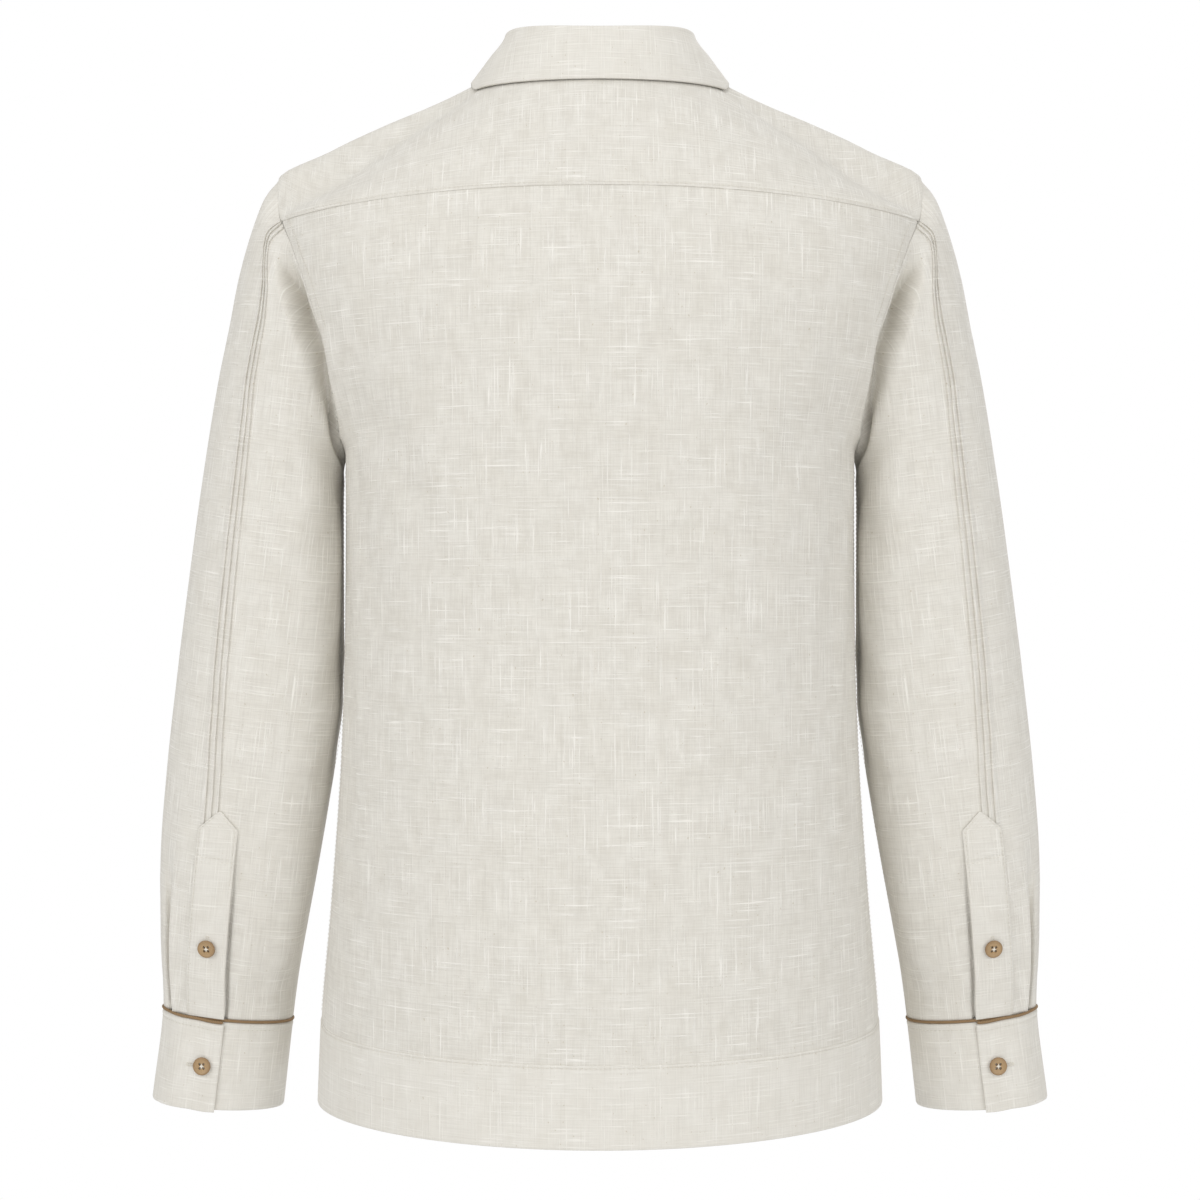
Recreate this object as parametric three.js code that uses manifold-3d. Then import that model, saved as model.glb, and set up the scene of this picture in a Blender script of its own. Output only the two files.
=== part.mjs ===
// A long-sleeved guayabera shirt in slubbed linen, filled out as it is when worn, with no wearer.
// Millimetres, +Z up, +Y is the back, +X the wearer's left. The origin lies between the two points
// where the shoulder seams meet the collar, which is where a wearer's shoulders carry the shirt.
//
// The body is one smooth form of rings, from the hem up to the neckline. Its panels are patches of
// that form, parted along their seams. Each sleeve is a tube of rings that starts at the armhole.
import * as THREE from 'three';
import { mergeVertices } from 'three/addons/utils/BufferGeometryUtils.js';
import Module from 'manifold-3d';

// ---------------------------------------------------------------- cloth and seams
const CLOTH = 1.2;        // wall of the single cloth
const DOUBLED = 2.0;      // wall of collar, cuffs and hem band: two layers and an interlining
const YOKE_WALL = 1.6;    // the yoke is cut double
const SEAM_GAP = 0.32;    // between two pieces that are sewn together
const ARMHOLE_GAP = 0.75;
const PROUD = 0.4;        // how far a doubled band stands out of the cloth beside it

// ---------------------------------------------------------------- trim
const BUTTON_RADIUS = 6.35;
const BUTTON_HEIGHT = 2.3;
const BUTTON_HOLE_RADIUS = 0.8;
const BUTTON_HOLE_OFFSET = 1.35;
const PIPING_RADIUS = 1.15;
const PIPING_STEPS = 34;
const FRONT_PLACKET_HALF = 16;      // half the width of the button strip
const LEFT_FRONT_EDGE = 13;         // where the left front stops under the strip, from centre front
const RIGHT_FRONT_EDGE = 12.4;      // how far the right front runs past centre front
const STRIP_LIFT = 0.75;            // inner face of the strip above the cloth, clear of the hem band
const FRONT_BUTTON_HEIGHTS = [-122, -218, -314, -410, -506, -602];

// ---------------------------------------------------------------- sleeve details
const TUCK_PITCH = 4.8;
const TUCK_HEIGHT = 1.1;
const TUCK_STEP = 0.4;              // the folded edge of a tuck drops to the cloth within this
const TUCKS_END_ROW = 9.3;
const PLACKET_WIDTH = 27;
const PLACKET_EDGE_ANGLES = [94.5, 93.2];  // its free edge, at its top and at the cuff
const PLACKET_TIP_ROW = 9.34;
const PLACKET_SHOULDER_ROW = 9.56;
const PLACKET_TIP_WIDTH = 2;
const PLEAT_SHARE = 0.62;           // where the pleat lies between the outer side and the tucks
const PLEAT_HEIGHT = 1.7;
const PLEAT_TOP_ROW = 10.6;
const SLIT_DIP = 2.2;               // the sleeve sinks this far beside the placket's free edge
const CUFF_UNDERLAP_ANGLE = 64;
const CUFF_RAMP_ANGLES = [386, 418];
const CUFF_LAP_LIFT = 2.4;
const CUFF_BUTTON_ANGLE = 79;
const PLACKET_BUTTON_ANGLE = 78.5;
const PLACKET_BUTTON_ROW = 11.4;
const CUFF_BUTTON_ROW = 13.55;

// ---------------------------------------------------------------- body rings
// One row a ring. wide is the half width, back and front the depths from the plane between the
// sleeves, n the roundness (2 is an ellipse). z gives the height at five angles round the ring:
// centre back, back of the arm, side, front of the arm, centre front.
const STATIONS = [0, 72, 90, 108, 180];
const level = (z) => [z, z, z, z, z];
const BODY = [
  { name: 'hem', wide: 197, back: 140, front: 132, n: 2.0, z: [-713, -711.2, -711.5, -711.2, -713] },
  { name: 'band', wide: 194.6, back: 139.5, front: 131, n: 2.0, z: [-659, -656.5, -653, -656.5, -659] },
  { name: 'hip', wide: 187.7, back: 137, front: 129, n: 2.05, z: level(-573) },
  { name: 'low waist', wide: 180.5, back: 134.5, front: 126, n: 2.1, z: level(-467) },
  { name: 'waist', wide: 177.8, back: 133, front: 124, n: 2.15, z: level(-380) },
  { name: 'ribs', wide: 177.3, back: 132.5, front: 123.5, n: 2.25, z: level(-310) },
  { name: 'armpit', wide: 177.5, back: 133, front: 124, n: 2.3, z: level(-262) },
  { name: 'underarm', wide: 180, back: 133, front: 123.5, n: 2.3, z: level(-243) },
  { name: 'chest', wide: 191, back: 133, front: 122, n: 2.3, z: [-215, -215, -213, -214, -218] },
  { name: 'blades', wide: 205, back: 132, front: 119, n: 2.3, z: [-185, -185, -181, -184, -194] },
  { name: 'upper chest', wide: 217, back: 129, front: 114, n: 2.3, z: [-155, -156, -148, -153, -173] },
  { name: 'collarbone', wide: 225, back: 122, front: 109, n: 2.3, z: [-121, -125, -104, -121, -153] },
  { name: 'yoke', wide: 227, back: 113.5, front: 103, n: 2.3, z: [-92, -103, -67, -92, -134] },
  { name: 'shoulder', wide: 188, back: 104, front: 97, n: 2.25, z: [-72, -79, -46, -66, -118] },
  { name: 'mid shoulder', wide: 150, back: 90, front: 90, n: 2.2, z: [-47, -52, -28.5, -44, -103] },
  { name: 'collar edge', wide: 108, back: 76, front: 82, n: 2.1, z: [-24, -24, -10.5, -22, -88] },
  { name: 'neck', wide: 70, back: 60, front: 72, n: 2.0, z: [-4, 6, 9, 1, -72] },
];
const HEM = 0;
const BAND = 1;
const ARMPIT = 6;
const YOKE = 12;
const NECK = 16;
const YOKE_ARM_ANGLE = 72;          // the yoke seam ends here at the armhole, back and front
const FOLD = { wide: 65, back: 54, front: 68, n: 2.0, z: [25, 32, 33, 27, -44] };

// Where the armhole cuts each ring, as angles from centre back.
const ARMHOLE = [
  { row: 6, back: 90, front: 90 },
  { row: 6.4, back: 83.5, front: 97 },
  { row: 7, back: 78, front: 104 },
  { row: 8, back: 69, front: 113 },
  { row: 9, back: 63.5, front: 118 },
  { row: 10, back: 63, front: 118.5 },
  { row: 11, back: 66, front: 115 },
  { row: 12, back: 72, front: 108 },
];
const ARMHOLE_ROWS = [6.4, 7, 7.5, 8, 8.6, 9.3, 10, 10.7, 11.3];
const SHOULDER_ANGLES = [96, 102];  // seam points over the shoulder, before its tip at 90 and behind it

// ---------------------------------------------------------------- sleeve rings
// One row a ring, seen from the front: its outer end (ox, oz) and inner end (ix, iz), its middle
// from front to back (y), its depths from there, and the angle of the innermost tuck's fold.
const SLEEVE = [
  { name: 'armhole', ox: 227, oz: -67, ix: 177.5, iz: -262, y: 0, back: 65.5, front: 62, tuck: 52 },
  { name: 'cap 1', ox: 235.5, oz: -81, ix: 178.6, iz: -266, y: 0, back: 61.5, front: 60, tuck: 51 },
  { name: 'cap 2', ox: 245, oz: -107, ix: 179.6, iz: -271, y: -1, back: 58.5, front: 58, tuck: 70 },
  { name: 'cap 3', ox: 253, oz: -136, ix: 180.6, iz: -279, y: -2, back: 57, front: 57, tuck: 69.5 },
  { name: 'cap 4', ox: 260.5, oz: -172, ix: 181.3, iz: -290, y: -4, back: 56.5, front: 57, tuck: 70 },
  { name: 'biceps', ox: 269.5, oz: -214, ix: 181.7, iz: -310, y: -7, back: 56, front: 57, tuck: 73 },
  { name: 'upper', ox: 280.5, oz: -279, ix: 181.9, iz: -348, y: -10, back: 56, front: 56, tuck: 74.5 },
  { name: 'above elbow', ox: 291, oz: -350, ix: 182.2, iz: -394, y: -14, back: 55, front: 55, tuck: 74.3 },
  { name: 'elbow', ox: 301.8, oz: -433, ix: 184.5, iz: -447.3, y: -17, back: 54, front: 54, tuck: 75.5 },
  { name: 'below elbow', ox: 308, oz: -486.6, ix: 191.6, iz: -493.8, y: -20, back: 52, front: 53, tuck: 78.6 },
  { name: 'forearm', ox: 312.6, oz: -540.4, ix: 200.6, iz: -545.4, y: -23, back: 49, front: 50, tuck: 80 },
  { name: 'lower', ox: 314, oz: -587.3, ix: 209.5, iz: -592.3, y: -26, back: 43.5, front: 45, tuck: 79 },
  { name: 'gathered', ox: 313.6, oz: -621.2, ix: 216, iz: -628.4, y: -28, back: 37, front: 38, tuck: 78 },
  { name: 'cuff seam', ox: 312.4, oz: -652.4, ix: 220.5, iz: -661.7, y: -30, back: 31, front: 31, tuck: 78 },
  { name: 'cuff hem', ox: 320.4, oz: -718, ix: 227.6, iz: -723.5, y: -32, back: 30.5, front: 30.5, tuck: 78 },
];
const CUFF_SEAM = 13;
const CUFF_HEM = 14;
const CAP_ROWS = 3;                 // the sleeve keeps something of the armhole's own line down to here
const SLEEVE_ROWS = [0.4, 1, 2, 3, 4, 5, 6, 7, 8, 8.7, 9.25, 9.33, 10, 10.7, 11.4, 12, 12.5];

// Collar leaf: where its edge lies on the body, by ring and angle.
const LEAF_EDGE = [
  { angle: 0, row: 15.52 },
  { angle: 60, row: 15.48 },
  { angle: 90, row: 15.47 },
  { angle: 115, row: 15.2 },
  { angle: 136, row: 14.7 },
  { angle: 158, row: 13.9 },
];
const LEAF_END_ANGLE = 172;         // the leaf starts this far round on the stand
const LEAF_WALL = 1.6;
const LEAF_CLEARANCE = 0.8;         // under the leaf's edge
// The leaf's roll over the stand: distance out from the fold line, and up from it.
const LEAF_ROLL = [[-2.4, 2.3], [-0.4, 2.3], [1.4, 1.2], [2.4, -1.6]];
const STAND_INSET = 1.1;            // the stand lies inside the neckline
const STAND_WALL = 1.4;
const STAND_UNDERLAP = 1.9;         // the stand's right end lies this far inside the left one
const STAND_OVERLAP_HALF = 13;

// ---------------------------------------------------------------- small helpers
const radians = THREE.MathUtils.degToRad;
const vec = (x, y, z) => new THREE.Vector3(x, y, z);
const mix = (a, b, t) => a + (b - a) * t;
const clamp01 = (t) => Math.min(1, Math.max(0, t));
const smoothstep = (t) => clamp01(t) ** 2 * (3 - 2 * clamp01(t));
const toward = (from, to) => to.clone().sub(from).normalize();

// Smooth monotone curve through (xs, ys), with no overshoot between its points.
function smoothCurve(xs, ys) {
  const last = xs.length - 1;
  const slope = (i) => (ys[i + 1] - ys[i]) / (xs[i + 1] - xs[i]);
  const tangents = xs.map((_, i) => {
    if (i === 0) return slope(0);
    if (i === last) return slope(last - 1);
    const before = slope(i - 1);
    const after = slope(i);
    return before * after <= 0 ? 0 : (2 * before * after) / (before + after);
  });
  return (x) => {
    let i = 0;
    while (i < last - 1 && x > xs[i + 1]) i += 1;
    const step = xs[i + 1] - xs[i];
    const t = clamp01((x - xs[i]) / step);
    const t2 = t * t;
    const t3 = t2 * t;
    return ys[i] * (2 * t3 - 3 * t2 + 1) + tangents[i] * step * (t3 - 2 * t2 + t)
      + ys[i + 1] * (3 * t2 - 2 * t3) + tangents[i + 1] * step * (t3 - t2);
  };
}

const column = (table, read) => smoothCurve(table.map((_, i) => i), table.map(read));
const mirroredStations = [-STATIONS[1], ...STATIONS, 360 - STATIONS[3]];
const heightRound = (z) => smoothCurve(mirroredStations, [z[1], ...z, z[3]]);

// ---------------------------------------------------------------- body form
const bodyCurves = {
  wide: column(BODY, (r) => r.wide),
  back: column(BODY, (r) => r.back),
  front: column(BODY, (r) => r.front),
  n: column(BODY, (r) => r.n),
  z: STATIONS.map((_, i) => column(BODY, (r) => r.z[i])),
};

function ringPoint(ring, angle) {
  let turned = ((angle % 360) + 360) % 360;
  if (turned > 180) turned -= 360;
  const sine = Math.sin(radians(turned));
  const cosine = Math.cos(radians(turned));
  const power = 2 / ring.n;
  const depth = cosine > 0 ? ring.back : ring.front;
  return vec(
    ring.wide * Math.sign(sine) * Math.abs(sine) ** power,
    depth * Math.sign(cosine) * Math.abs(cosine) ** power,
    heightRound(ring.z)(Math.abs(turned)),
  );
}

function bodyRing(row) {
  return {
    wide: bodyCurves.wide(row),
    back: bodyCurves.back(row),
    front: bodyCurves.front(row),
    n: bodyCurves.n(row),
    z: bodyCurves.z.map((curve) => curve(row)),
  };
}

const bodyAt = (angle, row) => ringPoint(bodyRing(row), angle);

function bodyNormal(angle, row) {
  const across = bodyAt(angle + 0.5, row).sub(bodyAt(angle - 0.5, row));
  const up = bodyAt(angle, Math.min(row + 0.05, NECK)).sub(bodyAt(angle, Math.max(row - 0.05, HEM)));
  return up.cross(across).normalize();
}

const lifted = (angle, row, lift) => bodyAt(angle, row).addScaledVector(bodyNormal(angle, row), lift);

// The angle past centre front at which a ring is that far from the middle.
function angleFromFront(row, distance) {
  const ring = bodyRing(row);
  return THREE.MathUtils.radToDeg(Math.asin((distance / ring.wide) ** (ring.n / 2)));
}

const armholeBack = smoothCurve(ARMHOLE.map((r) => r.row), ARMHOLE.map((r) => r.back));
const armholeFront = smoothCurve(ARMHOLE.map((r) => r.row), ARMHOLE.map((r) => r.front));

// ---------------------------------------------------------------- sleeve form
const sleeveCurves = Object.fromEntries(
  ['ox', 'oz', 'ix', 'iz', 'y', 'back', 'front', 'tuck'].map((key) => [key, column(SLEEVE, (r) => r[key])]),
);

// Angles run from the outer side (0) over the back (90) to the inner side (180) and the front.
function sleeveAt(angle, row) {
  const at = (key) => sleeveCurves[key](row);
  const cosine = Math.cos(radians(angle));
  const sine = Math.sin(radians(angle));
  const depth = sine > 0 ? at('back') : at('front');
  return vec(
    mix(at('ix'), at('ox'), (1 + cosine) / 2),
    at('y') + depth * sine,
    mix(at('iz'), at('oz'), (1 + cosine) / 2),
  );
}

function sleeveNormal(angle, row) {
  const across = sleeveAt(angle + 0.5, row).sub(sleeveAt(angle - 0.5, row));
  const down = sleeveAt(angle, Math.min(row + 0.05, CUFF_HEM)).sub(sleeveAt(angle, row - 0.05));
  return down.cross(across).normalize();
}

// The row that lies a distance in millimetres beyond another, towards the hand.
const rowPast = (row, distance) => row + (0.02 * distance) / sleeveAt(90, row).distanceTo(sleeveAt(90, row + 0.02));

// How many millimetres of cloth one degree takes at that place.
const perDegree = (angle, row) => sleeveAt(angle + 0.5, row).distanceTo(sleeveAt(angle - 0.5, row));

function placketEdge(row) {
  const [top, bottom] = PLACKET_EDGE_ANGLES;
  return mix(top, bottom, clamp01((row - PLACKET_TIP_ROW) / (CUFF_SEAM - PLACKET_TIP_ROW)));
}

// The cloth sinks beside the placket's free edge, more so towards the cuff.
function slitDip(angle, row) {
  const down = smoothstep((row - PLACKET_SHOULDER_ROW) / (CUFF_SEAM - 1 - PLACKET_SHOULDER_ROW));
  const beside = (angle - placketEdge(row)) / 22;
  return -SLIT_DIP * down * Math.max(0, 1 - beside * beside) * smoothstep((CUFF_SEAM - row) * 1.6);
}

// ---------------------------------------------------------------- solids from sheets
// A wall between an outer and an inner sheet of points, closed along every free edge.
function wall(outer, inner, { closed = false, mirror = false } = {}) {
  const rows = outer.length;
  const columns = outer[0].length;
  const index = (i, j) => i * columns + (j % columns);
  const faces = [];
  for (let i = 0; i < rows - 1; i += 1) {
    for (let j = 0; j < (closed ? columns : columns - 1); j += 1) {
      faces.push([index(i, j), index(i + 1, j), index(i + 1, j + 1)]);
      faces.push([index(i, j), index(i + 1, j + 1), index(i, j + 1)]);
    }
  }
  const count = rows * columns;
  const edges = new Set();
  for (const [a, b, c] of faces) [[a, b], [b, c], [c, a]].forEach(([p, q]) => edges.add(`${p},${q}`));
  const triangles = [...faces, ...faces.map(([a, b, c]) => [a + count, c + count, b + count])];
  for (const edge of edges) {
    const [p, q] = edge.split(',').map(Number);
    if (edges.has(`${q},${p}`)) continue;
    triangles.push([q, p, p + count], [q, p + count, q + count]);
  }
  const side = mirror ? -1 : 1;
  const points = [...outer.flat(), ...inner.flat()].flatMap((p) => [p.x * side, p.y, p.z]);
  const geometry = new THREE.BufferGeometry();
  geometry.setAttribute('position', new THREE.Float32BufferAttribute(points, 3));
  geometry.setIndex(triangles.flatMap(([a, b, c]) => (mirror ? [a, c, b] : [a, b, c])));
  return geometry;
}

// Outward normals of a sheet of points, from its own rows and columns.
function sheetNormals(points, closed = false) {
  const last = points.length - 1;
  const columns = points[0].length;
  const at = (i, j) => (closed ? points[i][(j + columns) % columns] : points[i][Math.min(columns - 1, Math.max(0, j))]);
  return points.map((line, i) => line.map((_, j) => {
    const along = at(Math.min(last, i + 1), j).clone().sub(at(Math.max(0, i - 1), j));
    const across = at(i, j + 1).clone().sub(at(i, j - 1));
    return along.cross(across).normalize();
  }));
}

const inwards = (outer, normals, thick) => outer.map((line, i) => line.map((p, j) => p.clone().addScaledVector(normals[i][j], -thick)));

// Draws a sheet's edge back by a distance, so that it stays clear of the piece sewn to it.
function drawBack(points, { first = 0, last = 0, left = 0, right = 0 }) {
  const rows = points.length - 1;
  const columns = points[0].length - 1;
  const pull = (i, j, di, dj, distance) => {
    if (distance > 0) points[i][j].addScaledVector(toward(points[i][j], points[i + di][j + dj]), distance);
  };
  for (let j = 0; j <= columns; j += 1) {
    pull(0, j, 1, 0, first);
    pull(rows, j, -1, 0, last);
  }
  for (let i = 0; i <= rows; i += 1) {
    pull(i, 0, 0, 1, left);
    pull(i, columns, 0, -1, right);
  }
  return points;
}

const spread = (from, to, steps) => Array.from({ length: steps + 1 }, (_, i) => mix(from, to, i / steps));

// ---------------------------------------------------------------- the armhole seam
// Seam points of the left armhole in order: shoulder tip, back, armpit, front. Each holds the
// outer and inner point that the body and the sleeve share, and the way across to the sleeve.
function armholeSeam() {
  const seam = [];
  const overShoulder = (angle) => seam.push({ p: bodyAt(angle, YOKE), body: bodyAt(angle, YOKE + 0.4) });
  const beside = (row, angle, inside) => seam.push({ p: bodyAt(angle, row), body: bodyAt(inside, row), row });
  const backAngles = SHOULDER_ANGLES.map((a) => 180 - a);
  [90, ...backAngles, YOKE_ARM_ANGLE].forEach(overShoulder);
  [...ARMHOLE_ROWS].reverse().forEach((row) => beside(row, armholeBack(row), armholeBack(row) - 6));
  seam.push({ p: bodyAt(90, ARMPIT), body: bodyAt(90, ARMPIT - 0.4), row: ARMPIT });
  ARMHOLE_ROWS.forEach((row) => beside(row, armholeFront(row), armholeFront(row) + 6));
  [180 - YOKE_ARM_ANGLE, ...[...SHOULDER_ANGLES].reverse()].forEach(overShoulder);
  const ring = SLEEVE[0];
  const axis = vec(ring.ox - ring.ix, 0, ring.oz - ring.iz).multiplyScalar(0.5);
  const middle = vec((ring.ox + ring.ix) / 2, ring.y, (ring.oz + ring.iz) / 2);
  seam.forEach((point) => {
    const from = point.p.clone().sub(middle);
    const depth = from.y > 0 ? ring.back : ring.front;
    const angle = THREE.MathUtils.radToDeg(Math.atan2(from.y / depth, from.dot(axis) / axis.lengthSq()));
    point.angle = angle < -1e-6 ? angle + 360 : Math.max(0, angle);
    point.off = point.p.clone().sub(sleeveAt(point.angle, 0));
  });
  seam.forEach((point, k) => {
    const before = seam[(k + seam.length - 1) % seam.length];
    const after = seam[(k + 1) % seam.length];
    const run = toward(before.p, after.p);
    const toSleeve = toward(point.p, sleeveAt(point.angle, 0.6).addScaledVector(point.off, 0.6));
    const across = toSleeve.clone().sub(toward(point.p, point.body));
    point.across = across.addScaledVector(run, -across.dot(run)).normalize();
    const mitre = point.across.clone().cross(run).normalize();
    const bodyFacing = mitre.clone().addScaledVector(toSleeve, -mitre.dot(toSleeve)).normalize();
    const stretch = 1 / Math.max(0.55, mitre.dot(bodyFacing));
    point.inner = point.p.clone().addScaledVector(mitre, -CLOTH * stretch);
  });
  return seam;
}

const SEAM = armholeSeam();
const seamAtRow = (row, front) => {
  const found = SEAM.filter((s) => s.row === row);
  return front ? found[found.length - 1] : found[0];
};
const flipped = (p) => vec(-p.x, p.y, p.z);

// ---------------------------------------------------------------- body panels
const LOWER_ROWS = [1, 1.6, 2.2, 2.8, 3.4, 4, 4.6, 5.2, 5.7];
const PANEL_ROWS = [...LOWER_ROWS, ARMPIT, ...ARMHOLE_ROWS, YOKE];
const BACK_COLUMNS = 22;
const FRONT_COLUMNS = 11;

// Points and normals of a patch of the body, with the angles of each row given by a function.
function bodySheet(rows, anglesOf, lift = 0) {
  const angles = rows.map(anglesOf);
  return {
    points: rows.map((row, i) => angles[i].map((angle) => lifted(angle, row, lift))),
    normals: rows.map((row, i) => angles[i].map((angle) => bodyNormal(angle, row))),
  };
}

function backPanel() {
  const { points, normals } = bodySheet(PANEL_ROWS, (row) => {
    const edge = row > ARMPIT ? armholeBack(row) : 90;
    return spread(-edge, edge, BACK_COLUMNS);
  });
  const seamRows = PANEL_ROWS.map((row, i) => i).filter((i) => PANEL_ROWS[i] >= ARMPIT);
  drawBack(points, { first: PIPING_RADIUS / 4, last: SEAM_GAP });
  PANEL_ROWS.forEach((row, i) => {
    if (row > ARMPIT) return;
    points[i][0].y += SEAM_GAP / 2;
    points[i][BACK_COLUMNS].y += SEAM_GAP / 2;
  });
  const inner = inwards(points, normals, CLOTH);
  seamRows.forEach((i) => {
    const seam = PANEL_ROWS[i] === YOKE ? cornerSeam(false) : seamAtRow(PANEL_ROWS[i], false);
    const clear = PANEL_ROWS[i] === ARMPIT ? SEAM_GAP / 2 : 0;
    inner[i][BACK_COLUMNS].copy(seam.inner).add(points[i][BACK_COLUMNS]).sub(seam.p);
    inner[i][0].copy(flipped(seam.inner)).add(points[i][0]).sub(flipped(seam.p));
    if (clear) inner[i][0].y = Math.max(inner[i][0].y, clear);
  });
  return wall(points, inner);
}

// The seam point at the end of the yoke seam, behind the arm or before it.
function cornerSeam(front) {
  const corner = bodyAt(front ? 180 - YOKE_ARM_ANGLE : YOKE_ARM_ANGLE, YOKE);
  return SEAM.find((s) => s.p.distanceTo(corner) < 0.01);
}

// A front from its side seam to its edge near centre front, with the neckline at its top.
// endAngle gives the angle of that edge for a ring; the wearer's right front is the mirror.
function frontPanel(endAngle, mirror) {
  const rows = [...PANEL_ROWS, 13, 14, 15, 15.5, NECK];
  const { points, normals } = bodySheet(rows, (row) => {
    let edge = 90;
    if (row > ARMPIT) edge = row < YOKE ? armholeFront(row) : 180 - YOKE_ARM_ANGLE;
    return spread(edge, endAngle(row), FRONT_COLUMNS);
  });
  drawBack(points, { first: PIPING_RADIUS / 4 });
  rows.forEach((row, i) => {
    if (row <= ARMPIT) points[i][0].y -= SEAM_GAP / 2;
    if (row >= YOKE) points[i][0].addScaledVector(toward(points[i][0], points[i][1]), SEAM_GAP);
  });
  const inner = inwards(points, normals, CLOTH);
  rows.forEach((row, i) => {
    if (row < ARMPIT || row > YOKE) return;
    const seam = row === YOKE ? cornerSeam(true) : seamAtRow(row, true);
    inner[i][0].copy(seam.inner).add(points[i][0]).sub(seam.p);
  });
  return wall(points, inner, { mirror });
}

function yokePanel() {
  const half = [...spread(0, YOKE_ARM_ANGLE, BACK_COLUMNS / 2), ...SHOULDER_ANGLES.map((a) => 180 - a).reverse(), 90,
    ...SHOULDER_ANGLES, 180 - YOKE_ARM_ANGLE];
  const angles = [...half.slice(1).reverse().map((a) => -a), ...half];
  const rows = [YOKE, 12.5, 13, 14, 15, 15.5, NECK];
  const { points, normals } = bodySheet(rows, () => angles);
  const inner = inwards(points, normals, YOKE_WALL);
  angles.forEach((angle, j) => {
    if (Math.abs(angle) < YOKE_ARM_ANGLE) return;
    const seam = SEAM.find((s) => s.p.distanceTo(bodyAt(Math.abs(angle), YOKE)) < 0.01);
    inner[0][j].copy(angle > 0 ? seam.inner : flipped(seam.inner));
  });
  return wall(points, inner);
}

// The band sewn round the hem, from one angle to another.
function hemBand(from, to, columns) {
  const rows = [HEM, 0.5, BAND];
  const { points, normals } = bodySheet(rows, (row) => spread(from(row), to(row), columns), PROUD);
  drawBack(points, { last: SEAM_GAP, left: SEAM_GAP / 2, right: SEAM_GAP / 2 });
  return wall(points, inwards(points, normals, DOUBLED));
}

// The strip with the buttonholes, over both fronts.
function frontPlacket() {
  const rows = [0.02, 0.5, 0.94, 1.06, ...PANEL_ROWS.slice(1), 13, 14, 15, 15.6, 15.93];
  const { points, normals } = bodySheet(rows, (row) => {
    const edge = angleFromFront(row, FRONT_PLACKET_HALF);
    return spread(180 - edge, 180 + edge, 3);
  }, STRIP_LIFT + CLOTH);
  return wall(points, inwards(points, normals, CLOTH));
}

// ---------------------------------------------------------------- collar
function standSheet(offset) {
  const start = -180 - THREE.MathUtils.radToDeg(Math.asin(STAND_OVERLAP_HALF / FOLD.wide));
  const angles = spread(start, -start, 40);
  const neckRing = bodyRing(NECK);
  const heights = [0, 0.5, 1];
  return heights.map((height) => angles.map((angle) => {
    const p = ringPoint(neckRing, angle).lerp(ringPoint(FOLD, angle), height);
    const run = toward(ringPoint(FOLD, angle - 1), ringPoint(FOLD, angle + 1));
    const out = vec(-run.y, run.x, 0).normalize();
    const under = STAND_UNDERLAP * smoothstep((-angle - 156) / 10);
    return p.addScaledVector(out, -(STAND_INSET + under + offset)).add(vec(0, 0, height === 0 ? -0.8 : 0));
  }));
}

function collarStand() {
  const outer = standSheet(0);
  const inner = standSheet(STAND_WALL);
  return wall(outer, inner);
}

function collarLeaf() {
  const edgeRow = smoothCurve(LEAF_EDGE.map((r) => r.angle), LEAF_EDGE.map((r) => r.row));
  const lastAngle = LEAF_EDGE[LEAF_EDGE.length - 1].angle;
  const shares = spread(-1, 1, 44);
  const rolled = LEAF_ROLL.map(([out, up]) => shares.map((share) => {
    const angle = share * LEAF_END_ANGLE;
    const run = toward(ringPoint(FOLD, angle - 1), ringPoint(FOLD, angle + 1));
    const away = vec(-run.y, run.x, 0).normalize();
    const above = run.clone().cross(away).normalize();
    return ringPoint(FOLD, angle).addScaledVector(away, out).addScaledVector(above, up);
  }));
  const landed = shares.map((share) => {
    const angle = share * lastAngle;
    return lifted(angle, edgeRow(Math.abs(angle)), LEAF_CLEARANCE + LEAF_WALL);
  });
  const between = (t, bulge) => shares.map((share, j) => {
    const start = rolled[rolled.length - 1][j];
    const out = vec(Math.sin(radians(share * lastAngle)), Math.cos(radians(share * lastAngle)), 0);
    return start.clone().lerp(landed[j], t).addScaledVector(out, bulge);
  });
  const points = [landed, between(0.7, 0.7), between(0.35, 1.0), ...rolled.reverse()];
  return wall(points, inwards(points, sheetNormals(points), LEAF_WALL));
}

// ---------------------------------------------------------------- sleeves
// The sleeve's columns: the armhole's seam points, and between them those of the tucks and pleat.
function sleeveColumns() {
  const columns = SEAM.map((seam, k) => ({ ...seam, seam: k }));
  const lerpSeam = (k, t) => {
    const a = SEAM[k];
    const b = SEAM[k + 1];
    return {
      p: a.p.clone().lerp(b.p, t),
      inner: a.inner.clone().lerp(b.inner, t),
      across: a.across.clone().lerp(b.across, t),
      off: a.off.clone().lerp(b.off, t),
      angle: mix(a.angle, b.angle, t),
      order: k + t,
    };
  };
  columns.forEach((c) => { c.order = c.seam; });
  columns.push({ ...lerpSeam(1, 0.45), pleat: 'under' }, { ...lerpSeam(1, 0.5), pleat: 'fold' });
  const tuckShares = [[2, 0.1, 'start', 3], [2, 0.52, 'fold', 3], [2, 0.56, 'start', 2], [2, 0.96, 'fold', 2]];
  tuckShares.forEach(([k, t, part, tuck]) => columns.push({ ...lerpSeam(k, t), part, tuck }));
  columns.push({ ...lerpSeam(3, 0.62), part: 'fold', tuck: 1 }, { ...lerpSeam(3, 0.67), part: 'end', tuck: 0 });
  columns.sort((a, b) => a.order - b.order);
  const corner = columns.find((c) => c.seam === 3);
  corner.part = 'start';
  corner.tuck = 1;
  return columns;
}

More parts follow.
